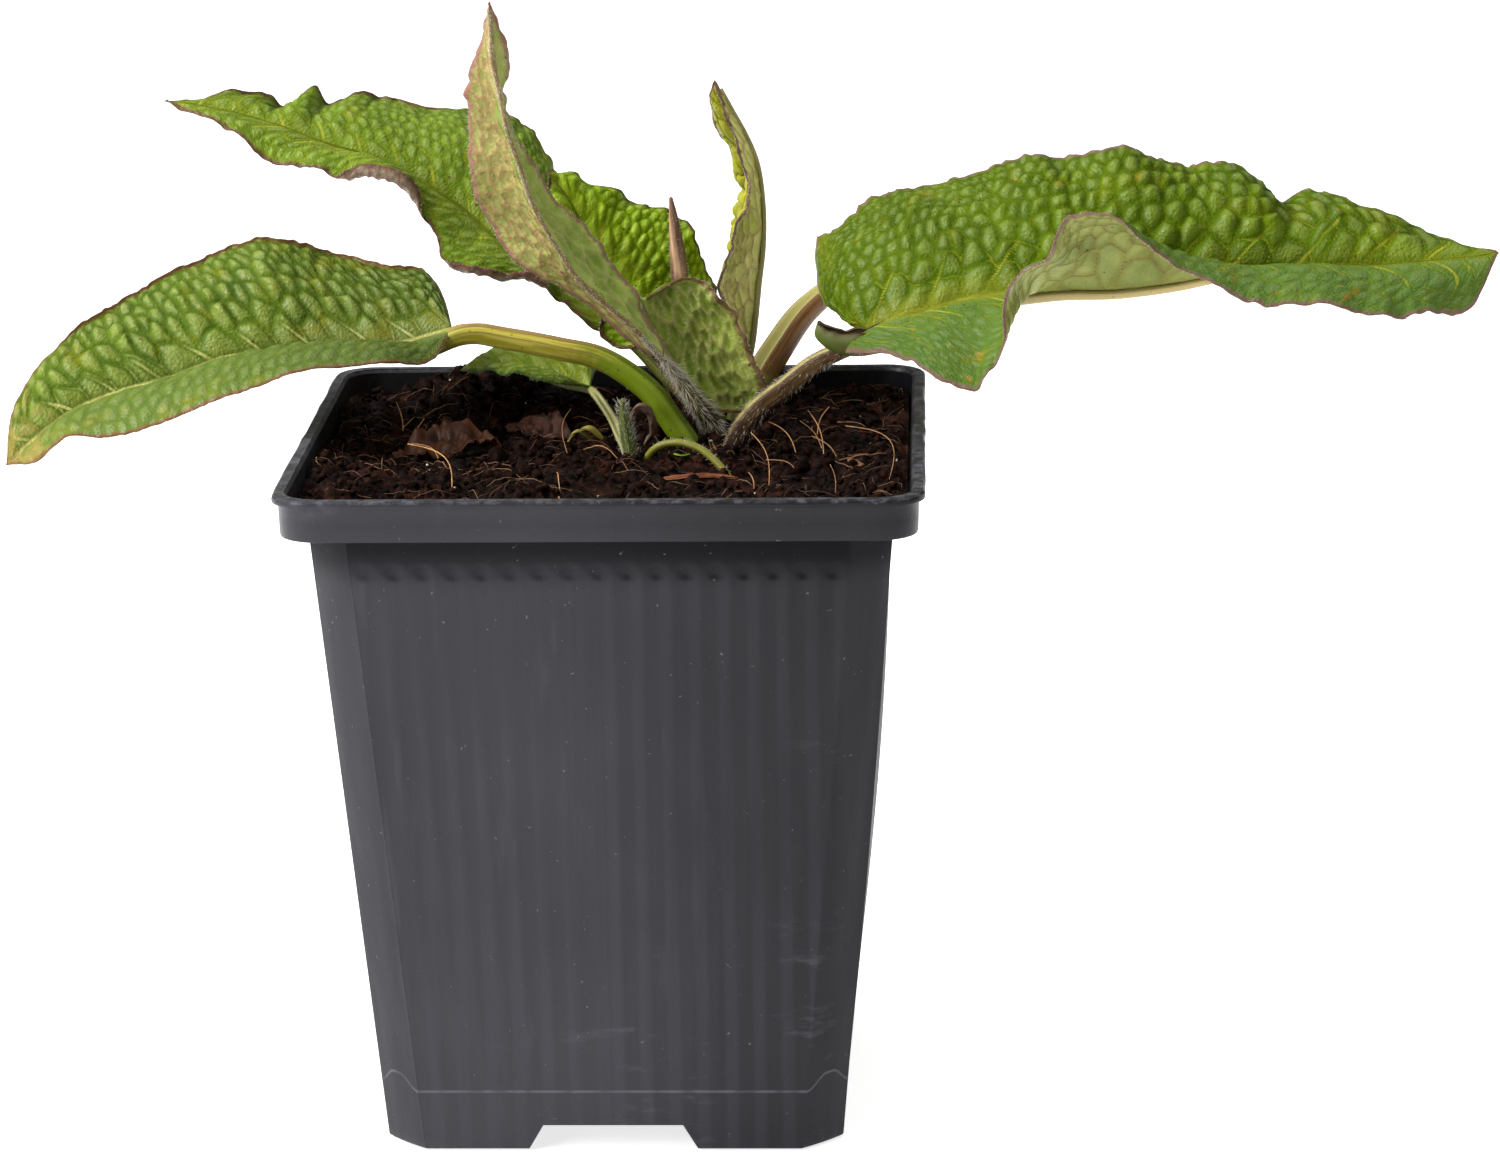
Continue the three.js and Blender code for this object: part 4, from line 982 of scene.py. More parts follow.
def add_crumbs(build, random, count, sizes, rounds, tones, material=0, sink=0.0):
    """Rough grains strewn over the soil, clear of what stands in it."""
    base, faces = ball_shape(rounds)
    x, y = inside_pot(*random.uniform(-CRUMB_HALF, CRUMB_HALF, (2, count)), CRUMB_HALF)
    size = random.uniform(0, 1, count) ** 1.7 * (sizes[1] - sizes[0]) + sizes[0]
    centres = np.stack([x, y, top_height(x, y) + size * (0.25 - sink)], -1)
    clear = room_left(centres) > size * 1.3 + 0.3
    for centre, radius in zip(centres[clear], size[clear]):
        shape = base * random.uniform(0.72, 1.28, (len(base), 1)) * random.uniform(0.6, 1.25, 3)
        turn = Matrix.Rotation(random.uniform(0, FULL_TURN), 3, random.normal(0, 1, 3))
        build.add(shape @ np.array(turn) * radius + centre, [faces], material, random.uniform(*tones))


def add_fibre(build, random, start, heading, length, radius, tone, curl, lift, arch):
    """A fibre lying over the soil, a little curled."""
    step = max(0.9, length / 14)
    count = max(4, int(length / step) + 1)
    turns = np.cumsum(random.normal(0, curl, count)) * 0.35 + heading
    x = start[0] + np.cumsum(np.cos(turns)) * step
    y = start[1] + np.cumsum(np.sin(turns)) * step
    x, y = inside_pot(x, y, SOIL_HALF - 1)
    share = np.linspace(0, 1, count)
    ground = top_height(x, y)
    line = ground[0] + share * (ground[-1] - ground[0])
    level = line + np.quantile(ground - line, 0.7)
    z = 0.75 * level + 0.25 * ground + lift + arch * np.sin(np.pi * share)
    points = np.stack([x, y, z], -1)
    clear = room_left(points) > radius + FIBRE_ROOM
    if not clear.all():
        points = points[:int(np.argmin(clear))]
    if len(points) >= 4:
        radii = radius * (0.45 + 0.55 * np.sin(np.pi * np.linspace(0.12, 0.95, len(points))))
        build.tube(points, radii, FIBRE_SIDES, 1, tone)


# Fibres that stand out: both ends, how far the middle bows to the right, radius and tone
FIBRES = [
    ((-38.5, 8.5, 115), (-40.5, 19, 120.5), 0.6, 0.11, 0.75),
    ((-26.5, -26, 115), (-35, -15.5, 120.5), 2.6, 0.13, 0.95),
    ((-31, -3, 115), (-36, 0.5, 117), 1, 0.1, 0.9),
    ((-52, -28.5, 115), (-54.5, -21, 119), -0.8, 0.13, 0.7),
    ((-40, 20.5, 115), (-38, 23.5, 116.5), 0, 0.1, 0.8),
    ((-37.5, 14, 115), (-35.5, 18.5, 117.5), 0, 0.12, 0.9),
    ((-8.5, 1, 115), (-8.5, 12.5, 120.5), -1.2, 0.08, 0.5),
    ((28, -24.5, 115), (24.5, -12, 121.5), 1.2, 0.1, 0.8),
    ((32, 0.5, 115), (24.5, 9, 119.5), 1.5, 0.1, 0.85),
    ((37, -3.5, 115), (34, 8, 121), 0.8, 0.11, 0.8),
    ((35.5, 15.5, 115), (37.5, 22, 118.5), -0.5, 0.12, 0.9),
    ((36.5, 4, 115), (32.5, 10.5, 118.5), 0.6, 0.1, 0.8),
    ((32, -11.5, 115), (27, -9.5, 116), 0.8, 0.09, 0.7),
    ((48.5, -23, 115), (41, -9.5, 122), 4, 0.09, 0.75),
    ((39.5, -30.5, 115), (38.5, -24, 118.5), 0.4, 0.08, 0.6),
    ((25.5, -27, 115), (24.5, -23.5, 117), 0.3, 0.1, 0.8),
    ((39.5, -5.5, 115), (35, 0, 118), 0.7, 0.1, 0.6),
    ((44.5, 18.5, 115), (39, 20.5, 116), 1, 0.08, 0.6),
]


def add_soil():
    build = Build()
    random = np.random.default_rng(41)
    side = int(2 * SOIL_HALF / SOIL_STEP) + 1
    line = np.linspace(-SOIL_HALF, SOIL_HALF, side)
    x, y = inside_pot(*np.meshgrid(line, line, indexing="ij"), SOIL_HALF)
    low, ground = facet_height(x, y), top_height(x, y)
    free = room_left(np.stack([x, y, ground], -1).reshape(-1, 3)).reshape(x.shape)
    z = low - SOIL_SUNK + (ground - low + SOIL_SUNK) * smoothstep(0.25, 1.6, free)
    upper = np.stack([x, y, z], -1).reshape(-1, 3)
    rim = border(side, side)
    foot = upper[rim].copy()
    foot[:, 2] = SOIL_FOOT
    points = np.vstack([upper, foot, [[0, 0, SOIL_FOOT]]])
    ring = np.arange(len(rim)) + side * side
    skirt = np.stack([rim, ring, np.roll(ring, -1), np.roll(rim, -1)], -1)
    bottom = fan(ring, len(points) - 1)[:, ::-1]
    build.add(points, [grid_faces(side, side)[:, ::-1], skirt, bottom], 0, 0.35)
    add_crumbs(build, random, 160, (0.8, 2.0), 2, (0.1, 0.6), sink=0.3)
    add_crumbs(build, random, 2500, (0.25, 0.95), 1, (0.0, 1.0))
    add_crumbs(build, random, 30, (0.2, 0.4), 1, (0.3, 1.0), material=2)
    for count, lengths, radii, tones, power, curl, lift, arch in (
            (420, (3, 9), (0.04, 0.08), (0.0, 0.6), 1.4, 0.1, 0.05, 1.2),
            (8, (5, 12), (0.08, 0.13), (0.4, 0.9), 1, 0.15, 0.3, 2.0)):
        for _ in range(count):
            add_fibre(build, random, random.uniform(-FIBRE_HALF, FIBRE_HALF, 2),
                      random.uniform(0, FULL_TURN), random.uniform(*lengths), random.uniform(*radii),
                      random.uniform(*tones) ** power, curl, lift, random.uniform(0, arch))
    share = np.linspace(0, 1, 15)[:, None]
    for low, high, bow, radius, tone in FIBRES:
        low, high = np.array(low, float), np.array(high, float)
        points = low + (high - low) * share + (0, 0, 0.4)
        points = points + (bow, 0, 0.6 * abs(bow)) * np.sin(np.pi * share)
        points = points[room_left(points) > radius + FIBRE_ROOM]
        build.tube(points, np.full(len(points), 0.8 * radius), FIBRE_SIDES, 1, tone)
    return build.make("soil_top")


def soil_paints():
    peat = Shader("peat", Specular_IOR_Level=0.04)
    place = peat.place()
    grain = peat.noise(place, 700.0, 5.0, 0.65)
    mixed = peat.attribute("tone") * 0.5 + peat.step(grain, 0.35, 0.7, 0.0, 0.6)
    colour = peat.mix(mixed * mixed, (2, 1, 1), (56, 32, 23))
    rust = peat.step(peat.noise(place, 160.0, 4.0), 0.56, 0.68)
    peat.put("Base Color", peat.mix(rust * 0.4, colour, (74, 40, 26)))
    peat.put("Roughness", peat.step(peat.noise(place, 300.0), 0.4, 0.65, 0.42, 0.9))
    peat.bump(peat.noise(place, 1300.0, 4.0, 0.7), 0.0004, 0.9)
    fibre = Shader("fibre", Roughness=0.6)
    colour = fibre.mix(fibre.attribute("tone"), (62, 28, 16), (206, 152, 94))
    streak = fibre.noise(fibre.place(), 500.0, 3.0)
    fibre.put("Base Color", fibre.mix(fibre.step(streak, 0.4, 0.7, 0.0, 0.4), colour, (60, 32, 22)))
    fibre.put("Roughness", fibre.step(streak, 0.3, 0.7, 0.5, 0.7))
    grit = Shader("pale_grit", Roughness=0.7)
    spots = grit.noise(grit.place(), 900.0, 3.0)
    grit.put("Base Color", grit.mix(spots, (226, 222, 206), (190, 178, 150)))
    return [peat, fibre, grit]


soil_surfaces = soil_paints()
finish_piece(add_soil(), "soil", soil_surfaces)
packed_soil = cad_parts["soil"]
packed_soil.data.materials.clear()
packed_soil.data.materials.append(soil_surfaces[0].material)


# Leaves

# How each leaf looks. Cells are those between the veins: their height at the midrib and at the margin
# (left_cells on a left half that differs), aspect their length for a height of one, lean how far they
# lean to the tip near the midrib and far from it, dome how high they swell, and plain the smoother
# half (1 left, -1 right). Veins is the pitch, lean and length of the side veins, ridge how far veins
# stand out below, rib the radius of the midrib and fold how deep it is sunk. Ruffle is how far the
# margin waves and how long its waves are, and scallop how uneven it is. A roll is a half of the blade,
# where it starts and ends along it, and its width. Hairs counts them on the stalk and midrib, on the
# veins below and on the margin, and stalk_hairs is the share of the first on the stalk. Step is the
# size of the faces.
LOOKS = {
    "leaf_low_left": {
        "seed": 11, "cells": (6.4, 4.2), "aspect": 0.55, "lean": (0.45, 0.2), "dome": 1.1,
        "veins": (9.5, 1.0, 8), "ridge": 0.5, "plain": 1, "ruffle": (0.15, 3.0), "scallop": 0.0,
        "hairs": (200, 0, 420), "hair_length": 0.8,
        "colours": {"dark": (54, 80, 8), "light": (94, 116, 30), "net_above": 0.1, "grooves": 0.45,
                    "vein": (200, 198, 122), "veined": 6.0, "glow": 0.3, "base_shade": 0.3,
                    "sheen_tint": (92, 112, 46), "yellowing": 0.4, "bleach": 1.0,
                    "edge": (118, 82, 54)},
        "rolls": [(-1, 0.08, 0.8, 1.2)], "roll_radius": 0.9,
        "stalk": {"dark": (158, 148, 44), "light": (196, 182, 78), "channel": (158, 128, 70),
                  "lip": (96, 60, 36), "foot": (100, 130, 4), "rib": (140, 142, 44),
                  "reach": 24.0},
    },
    "leaf_back_left": {
        "seed": 12, "cells": (3.4, 2.2), "aspect": 0.8, "lean": (0.8, 0.4), "dome": 0.75,
        "veins": (8, 1.0, 6), "ridge": 0.6, "ruffle": (0.8, 4.2), "scallop": 0.03,
        "hairs": (250, 0, 700), "hair_length": 0.7,
        "colours": {"dark": (68, 96, 10), "light": (112, 138, 34), "net_above": 0.3, "middle": 0.3,
                    "grooves": 0.35, "veined": 16.0,
                    "under_dark": (104, 96, 74), "under_light": (142, 124, 104),
                    "net": (112, 78, 76)},
        "rolls": [(1, 0.12, 0.37, 3.2), (1, 0.42, 0.66, 3.8), (-1, 0.5, 0.95, 1.2)], "roll_radius": 1.4,
        "stalk": {"dark": (96, 104, 40), "light": (134, 138, 66), "channel": (130, 124, 64),
                  "lip": (104, 76, 54), "foot": (96, 100, 40), "rib": (130, 132, 80)},
    },
    "leaf_tall": {
        "seed": 13, "cells": (2.0, 1.6), "left_cells": (3.4, 2.6), "aspect": 1.9, "lean": (0.6, 0.8),
        "dome": 2.8, "veins": (9, 1.6, 8), "ridge": 0.9, "rib": 0.4, "fold": 0.15,
        "ruffle": (0.45, 3.0), "scallop": 0.03,
        "hairs": (2200, 700, 500), "hair_length": 2.0, "stalk_hairs": 0.75, "hair_radius": 0.036,
        "colours": {"dark": (84, 108, 36), "light": (122, 142, 54), "net_above": 0.2,
                    "under_dark": (126, 142, 56), "under_light": (172, 180, 98),
                    "net": (166, 116, 92), "edge": (144, 102, 90), "blush": 0.45,
                    "other_dark": (118, 152, 42), "other_light": (194, 216, 102),
                    "other_net": (196, 190, 126), "hollow": 0.4},
        "stalk": {"dark": (84, 74, 36), "light": (120, 112, 54), "channel": (124, 130, 44),
                  "lip": (90, 62, 40), "foot": (74, 60, 38), "rib": (134, 110, 70)},
    },
    "leaf_back_centre": {
        "seed": 14, "cells": (3.6, 2.3), "aspect": 0.7, "lean": (0.8, 0.3), "dome": 1.15,
        "veins": (8, 1.0, 6), "ridge": 0.6, "ruffle": (1.4, 3.6), "scallop": 0.05,
        "hairs": (0, 0, 500), "hair_length": 0.6,
        "colours": {"dark": (76, 108, 2), "light": (136, 168, 12), "crown": (182, 204, 50),
                    "net_above": 0.15, "middle": 0.35, "grooves": 0.5, "edge": (84, 50, 42),
                    "yellowing": 0.15},
        "stalk": {},
    },
    "leaf_young": {
        "seed": 15, "cells": (2.0, 1.6), "aspect": 2.3, "lean": (0.8, 1.0), "dome": 3.2,
        "veins": (7, 1.2, 5), "ridge": 1.5, "fold": 0.1, "rib": 0.6,
        "ruffle": (0.9, 2.4), "scallop": 0.03,
        "hairs": (300, 1500, 300), "hair_length": 0.75,
        "colours": {"under_dark": (100, 128, 28), "under_light": (176, 194, 76),
                    "net": (190, 184, 120), "edge": (116, 80, 58), "blush": 0.0, "hollow": 0.4},
        "stalk": {"rib": (140, 138, 88)},
    },
    "leaf_narrow": {
        "seed": 16, "cells": (2.2, 1.8), "aspect": 2.1, "lean": (0.7, 1.0), "dome": 3.4,
        "veins": (7, 1.5, 5), "ridge": 1.5, "fold": 0.0, "rib": 0.7,
        "ruffle": (0.4, 3.0), "scallop": 0.03,
        "hairs": (900, 500, 300), "hair_length": 0.7,
        "colours": {"dark": (150, 152, 26), "light": (184, 180, 56), "net_above": 0.05,
                    "under_dark": (190, 200, 84), "under_light": (246, 244, 152),
                    "net": (172, 142, 96), "edge": (116, 82, 76), "blush": 0.1, "hollow": 0.4},
        "stalk": {"dark": (118, 120, 54), "light": (160, 156, 86), "foot": (150, 152, 84),
                  "rib": (150, 144, 88)},
    },
    "leaf_large_right": {
        "seed": 17, "cells": (6.2, 2.8), "aspect": 0.75, "lean": (0.5, 0.1), "dome": 1.05,
        "veins": (12, 1.1, 14), "ridge": 0.9, "plain": -1, "ruffle": (0.8, 3.8), "scallop": 0.02,
        "hairs": (1300, 0, 900), "hair_length": 1.1, "stalk_hairs": 0.92, "hair_radius": 0.034,
        "colours": {"dark": (56, 82, 2), "light": (98, 122, 10), "net_above": 0.3, "veined": 16.0,
                    "grooves": 0.55, "middle_far": 0.25, "glow": 1.2, "base_shade": 0.15,
                    "crown": (132, 150, 32), "sheen_tint": (88, 120, 50), "yellowing": 0.25, "rust": 0.6,
                    "under_dark": (102, 118, 46), "under_light": (150, 158, 80),
                    "net": (106, 76, 64), "edge": (128, 94, 86), "blush": 0.25},
        "stalk": {"dark": (86, 60, 42), "light": (134, 106, 66), "channel": (172, 158, 88),
                  "lip": (86, 54, 46), "foot": (60, 42, 38), "rib": (184, 166, 112),
                  "turned": 0.36},
    },
    "leaf_back_right": {
        "seed": 18, "cells": (6.0, 2.8), "aspect": 0.8, "lean": (0.7, 0.3), "dome": 1.0,
        "veins": (10, 1.0, 10), "ridge": 0.6, "ruffle": (0.8, 4.0), "scallop": 0.02, "step": 0.6,
        "hairs": (200, 0, 300), "hair_length": 0.7,
        "colours": {},
        "stalk": {"dark": (122, 82, 46), "light": (156, 112, 64), "channel": (196, 188, 116),
                  "lip": (108, 66, 44), "foot": (164, 164, 78), "rib": (150, 138, 76),
                  "turned": 0.23},
    },
    "leaf_small": {
        "seed": 19, "cells": (3.8, 2.4), "aspect": 0.8, "lean": (0.8, 0.4), "dome": 0.55,
        "veins": (8, 1.0, 5), "ridge": 0.5, "ruffle": (0.3, 3.0), "scallop": 0.01,
        "hairs": (150, 0, 150), "hair_length": 0.5,
        "colours": {"dark": (80, 106, 20), "light": (110, 132, 38), "net_above": 0.05,
                    "grooves": 0.4, "edge": (66, 88, 26), "yellowing": 0.1},
        "stalk": {"dark": (140, 140, 84), "light": (176, 172, 116), "channel": (150, 150, 90),
                  "foot": (140, 136, 92), "lip": (120, 104, 70), "rib": (130, 136, 76)},
    },
}
MESH_STEP = 0.46
ROLL_STEPS = 9
BLADE_HALF_THICKNESS = 0.22
FOLD = 0.4
TOOTH = 0.014
LEAN_REACH = 6
DOME_REACH = 7
PLAIN_DOME = 0.35
CELL_BEND = 2.2
CELLS_MOST = 4000
TONES = 9000
POINTS_AT_ONCE = 4000


def cell_size(cells, share, t, width):
    """How tall the cells are between the veins: smaller to the margin and to both ends."""
    ends = 0.68 + 0.32 * np.sin(np.pi * np.clip(share, 0, 1))
    first, last = cells
    return ends * (first + (last - first) * np.clip(t / (width * ends), 0, 1) ** 0.7)


def vein_lattice(cells, reach, width, seed):
    """Middles of the cells between the veins, in rows along the midrib."""
    random = np.random.default_rng(seed)
    low, high = reach
    middles = []
    row = 0.0
    widen = 1.7
    while row < 1.3 * width:
        tall = cell_size(cells, 0.5, row, width)
        x = low - 3 + random.uniform(0, tall)
        while x < high + 3:
            share = (x - low) / (high - low)
            ends = cell_size(cells, share, 0, width) / cell_size(cells, 0.5, 0, width)
            shift = random.normal(0, 0.15, 2) * tall
            middles.append((x + shift[0], (row + 0.5 * tall) * ends + shift[1]))
            x += tall * ends * widen * random.uniform(0.75, 1.3)
        row += 0.88 * tall
        widen = max(1, 0.75 * widen)
    return np.array(middles)


def nearest_edge(points, middles, aspect, slope):
    """For each point, the way to the border of its cell, the cell's number and the place in it."""
    found = []
    for start in range(0, len(points), POINTS_AT_ONCE):
        some = slice(start, start + POINTS_AT_ONCE)
        squares = ((points[some, None] - middles[None]) ** 2).sum(-1)
        order = np.argpartition(squares, 5, axis=1)[:, :6]
        near = np.take_along_axis(squares, order, 1)
        rank = np.argsort(near, axis=1)
        order, near = np.take_along_axis(order, rank, 1), np.take_along_axis(near, rank, 1)
        apart = middles[order[:, 1:]] - middles[order[:, :1]]
        along = apart[..., 0] / aspect
        gaps = np.hypot(along, apart[..., 1] - slope[some, None] * along)
        found.append((((near[:, 1:] - near[:, :1]) / (2 * gaps)).min(1), order[:, 0],
                      points[some] - middles[order[:, 0]]))
    return [np.concatenate(parts) for parts in zip(*found)]


class Blade:
    """A blade's middle surface with its vein pattern, as a grid from base to tip and right to left."""

    def __init__(self, leaf, look):
        self.look = look
        self.spine = Spine(leaf)
        self.wobble = lattice_noise(look["seed"], 1.0)
        self.find_surface(leaf)
        self.find_pattern()

    def find_surface(self, leaf):
        look, spine, wobble = self.look, self.spine, self.wobble
        step, rolls = look.get("step", MESH_STEP), look.get("rolls", [])
        widest = max(row[1] for row in leaf["left"] + leaf["right"])
        a = np.linspace(0, 1, int(round(spine.length / step * 1.08)) + 1)[:, None]
        v = np.linspace(-1, 1, 2 * int(round(widest / step)) + 1)
        if rolls:
            outside = 1 + np.arange(1, ROLL_STEPS + 1) / ROLL_STEPS
            v = np.concatenate([-outside[::-1], v, outside])
        q = np.minimum(np.abs(v), 1)
        sign = np.where(v < 0, -1.0, 1.0)
        rolled = np.zeros((len(a), len(v)))
        for side, start, end, size in rolls:
            part = smoothstep(start, start + 0.06, a) * smoothstep(end, end - 0.06, a)
            rolled = rolled + np.where(sign == side, size * part, 0)
        beyond = rolled * np.maximum(np.abs(v) - 1, 0)
        root = spine.track.at(a[:, 0] * spine.length)[:, None]
        along = spine.along(a[:, 0] * spine.length)[:, None]
        edges = [spine.margin(leaf[key], way).at(a[:, 0])[:, None] - root
                 for key, way in (("right", -1), ("left", 1))]
        across = np.where(v[:, None] < 0, *edges)
        width = np.linalg.norm(across, axis=-1)
        out = unit(np.cross(np.broadcast_to(along, across.shape), across) * sign[:, None])
        height, count = leaf["wave"]
        place = a * spine.length * 1.3
        swing, pitch = look["ruffle"]
        ruffle = wobble(place / pitch, 7 * sign) + 0.4 * wobble(place / pitch * 2.3, 20 + 7 * sign)
        lift = HALF_BULGE * width * np.sin(np.pi * q)
        lift = lift + height * q**2 * np.sin(np.pi * a) * np.sin(2 * np.pi * count * a + sign)
        tooth, scallop = wobble(place, 40 + 7 * sign), wobble(place / pitch, 60 + 7 * sign)
        uneven = TOOTH * tooth + look["scallop"] * scallop
        notch = 1 + q**5 * uneven * smoothstep(0, 0.1, a)
        smooth = root + across * q[:, None] + out * lift[..., None]
        lift = lift + swing * q**4 * smoothstep(0, 0.12, a) * ruffle
        points = root + across * (q * notch)[..., None] + out * lift[..., None]
        if rolls:
            radius = look["roll_radius"]
            bend = (beyond / radius)[..., None]
            points = points + radius * (unit(across) * np.sin(bend) + out * (1 - np.cos(bend)))
        forward = dot(across, along)
        self.width = np.sqrt(np.maximum(width**2 - forward**2, 0))
        self.a, self.sign, self.across, self.points = a, sign, across, points
        self.s = self.even_places(smooth, v, q, forward, ROLL_STEPS if rolls else 0)
        self.t = q * self.width + beyond
        self.edge = (1 - q) * self.width + rolled - beyond

    def even_places(self, points, v, q, forward, outside):
        """Place of each point along the blade, so that patterns keep their size where it bends."""
        a, width, length = self.a, self.width, self.spine.length
        ahead, across = np.gradient(points, a[:, 0], axis=0), np.gradient(points, v, axis=1)
        area = np.linalg.norm(np.cross(ahead, across), axis=-1)
        columns = np.clip(np.arange(len(v)), outside, len(v) - 1 - outside)
        middle = len(v) // 2
        area[:, middle] = 0.5 * (area[:, middle - 1] + area[:, middle + 1])
        widening = np.gradient(width, a[:, 0], axis=0)
        plain = length + q * np.gradient(forward, a[:, 0], axis=0)
        rate = (area[:, columns] + forward * q * widening) / np.maximum(width, 1)
        rate = plain + (rate - plain) * smoothstep(2, 6, width)
        steps = 0.5 * (rate[1:] + rate[:-1]) * np.diff(a, axis=0)
        places = np.vstack([np.zeros((1, len(v))), np.cumsum(steps, axis=0)])
        half = len(a) // 2
        return places - places[half] + a[half] * length + q * forward[half]

    def find_pattern(self):
        """How far each point is from the veins, and its place in its cell between them."""
        look, wobble, s, t = self.look, self.wobble, self.s, self.t
        near, far = look["lean"]
        fading = np.exp(-t / LEAN_REACH)
        slope = far + (near - far) * fading
        x = (s - far * t - (near - far) * LEAN_REACH * (1 - fading)) / look["aspect"]
        third, size = np.empty_like(x), np.empty_like(x)
        cell = np.empty(x.shape, int)
        place = np.empty(x.shape + (2,))
        for number, chosen in enumerate((self.sign < 0, self.sign > 0)):
            cells = look.get("left_cells", look["cells"]) if number else look["cells"]
            flat = np.stack([x[:, chosen].ravel(), t[:, chosen].ravel()], -1)
            u, v = flat.T / CELL_BEND
            flat = flat + 0.3 * np.stack([wobble(u, v), wobble(v + 9, u)], -1)
            low, high = flat[:, 0].min(), flat[:, 0].max()
            most = self.width[:, chosen].max()
            middles = vein_lattice(cells, (low, high), most, look["seed"] + 50 * number)
            found = nearest_edge(flat, middles, look["aspect"], slope[:, chosen].ravel())
            third[:, chosen] = found[0].reshape(len(x), -1)
            cell[:, chosen] = found[1].reshape(len(x), -1) + CELLS_MOST * number
            place[:, chosen] = found[2].reshape(len(x), -1, 2)
            share = (flat[:, 0] - low) / (high - low)
            size[:, chosen] = cell_size(cells, share, flat[:, 1], most).reshape(len(x), -1)
        angle = np.random.default_rng(look["seed"] + 7).normal(0.5 * np.pi, 0.9, TONES)[cell]
        self.tilt = (place[..., 0] * np.cos(angle) + place[..., 1] * np.sin(angle)) / size
        pitch, lean, far_end = look["veins"]
        second = (s - lean * t) / pitch + 0.16 * wobble(s / 14, t / 14)
        second = np.abs(second % 1 - 0.5) * pitch / math.hypot(1, lean)
        self.second = second + 4 * smoothstep(0.6, 1.1, t / far_end)
        self.third = np.minimum(third, self.second + 0.08)
        reach = np.minimum(self.third, t + 0.1) / (0.43 * size * min(1, look["aspect"]))
        self.reach = np.clip(reach, 0, 1)
        self.tone = np.random.default_rng(look["seed"]).uniform(0, 1, TONES)[cell]
        self.middle = np.hypot(place[..., 0], place[..., 1]) / size
        self.size = size

    def relief(self):
        """How far the blade swells between its veins, and how far the veins stand out underneath."""
        look, edge = self.look, self.edge
        dome = 0.5 * (1 - (1 - self.reach) ** 2) + 0.65 * bell(self.middle, 0.42)
        height = look["dome"] * self.size / 5 * (0.55 + 0.8 * self.tone)
        height = height * (0.35 + 0.65 * smoothstep(0, DOME_REACH, self.t))
        height = height * smoothstep(0.3, 3.4, edge) * smoothstep(0, DOME_REACH, self.width)
        height = height * np.where(self.sign == look.get("plain", 0), PLAIN_DOME, 1)
        sunk = look.get("fold", FOLD) * bell(self.t, 1.1) * smoothstep(0, 4, edge)
        ridge = 0.16 * bell(self.third, 0.34) * look["ridge"]
        return height * (dome * (1 + 0.75 * self.tilt)) - sunk, ridge * smoothstep(0, 1.5, edge)

    def sides(self):
        """The points of the upper side and of the underside, and the normals between them."""
        normals = grid_normals(self.points)
        swell, ridge = self.relief()
        thin = BLADE_HALF_THICKNESS * (0.4 + 0.6 * smoothstep(0, 0.8, self.edge))
        return (self.points + normals * (swell + thin)[..., None],
                self.points + normals * (swell - thin - ridge)[..., None], normals)


STALK_OUTLINE = [(1, 0.3), (0.6, 0.7), (0, 0.25), (-0.6, 0.7), (-1, 0.3), (-0.75, -0.6), (0, -1),
                 (0.75, -0.6)]
STALK_SIDES = 32
STALK_HOLLOWS = (0.25, 0.9)
TIP_RADIUS = 0.3


def stalk_shapes(fill):
    """Smooth outlines of a stalk; the hollow on its upper side fills up under the blade."""
    knots = np.arange(-2, len(STALK_OUTLINE) + 3)
    places = np.arange(STALK_SIDES) * len(STALK_OUTLINE) / STALK_SIDES
    shapes = []
    for hollow in STALK_HOLLOWS:
        outline = np.array(STALK_OUTLINE, float)
        outline[2, 1] = hollow
        shapes.append(Track(knots, outline[knots % len(outline)]).at(places))
    fill = fill[:, None, None]
    return shapes[0] * (1 - fill) + shapes[1] * fill


def stalk_mesh(leaf, look, spine):
    """Stalk and midrib in one: the midrib lies under the blade and thins to the tip."""
    places = np.linspace(spine.start, spine.length - 2, int(spine.length - spine.start) + 1)
    along, side, up = spine.frame(places)
    narrowing = np.clip(1 - places / spine.start, 0, 1)
    out = np.clip(places / spine.length, 0, 1)
    base, rib = leaf["radii"]
    rib = look.get("rib", rib)
    radius = np.where(places < 0, base + (rib - base) * narrowing**2,
                      rib + (TIP_RADIUS - rib) * out**0.7)
    depth = (radius * STALK_SUNK + look.get("fold", FOLD)) * smoothstep(-6, 6, places)
    centres = spine.track.at(places) - up * depth[:, None]
    shapes = stalk_shapes(smoothstep(-8, -1, places)) * radius[:, None, None]
    shells = side[:, None] * shapes[..., :1] + up[:, None] * shapes[..., 1:]
    return places, along, centres[:, None] + shells, unit(shells)


# Where hairs begin above the soil and where a stalk's end on its midrib, then sizes of hairs
HAIR_FOOT = 114.5
HAIR_END = 6
HAIR_RADIUS = 0.022
VEIN_HAIR_RADIUS = 0.025
MARGIN_HAIR_RADIUS = 0.03
HAIR_SUNK = 0.05


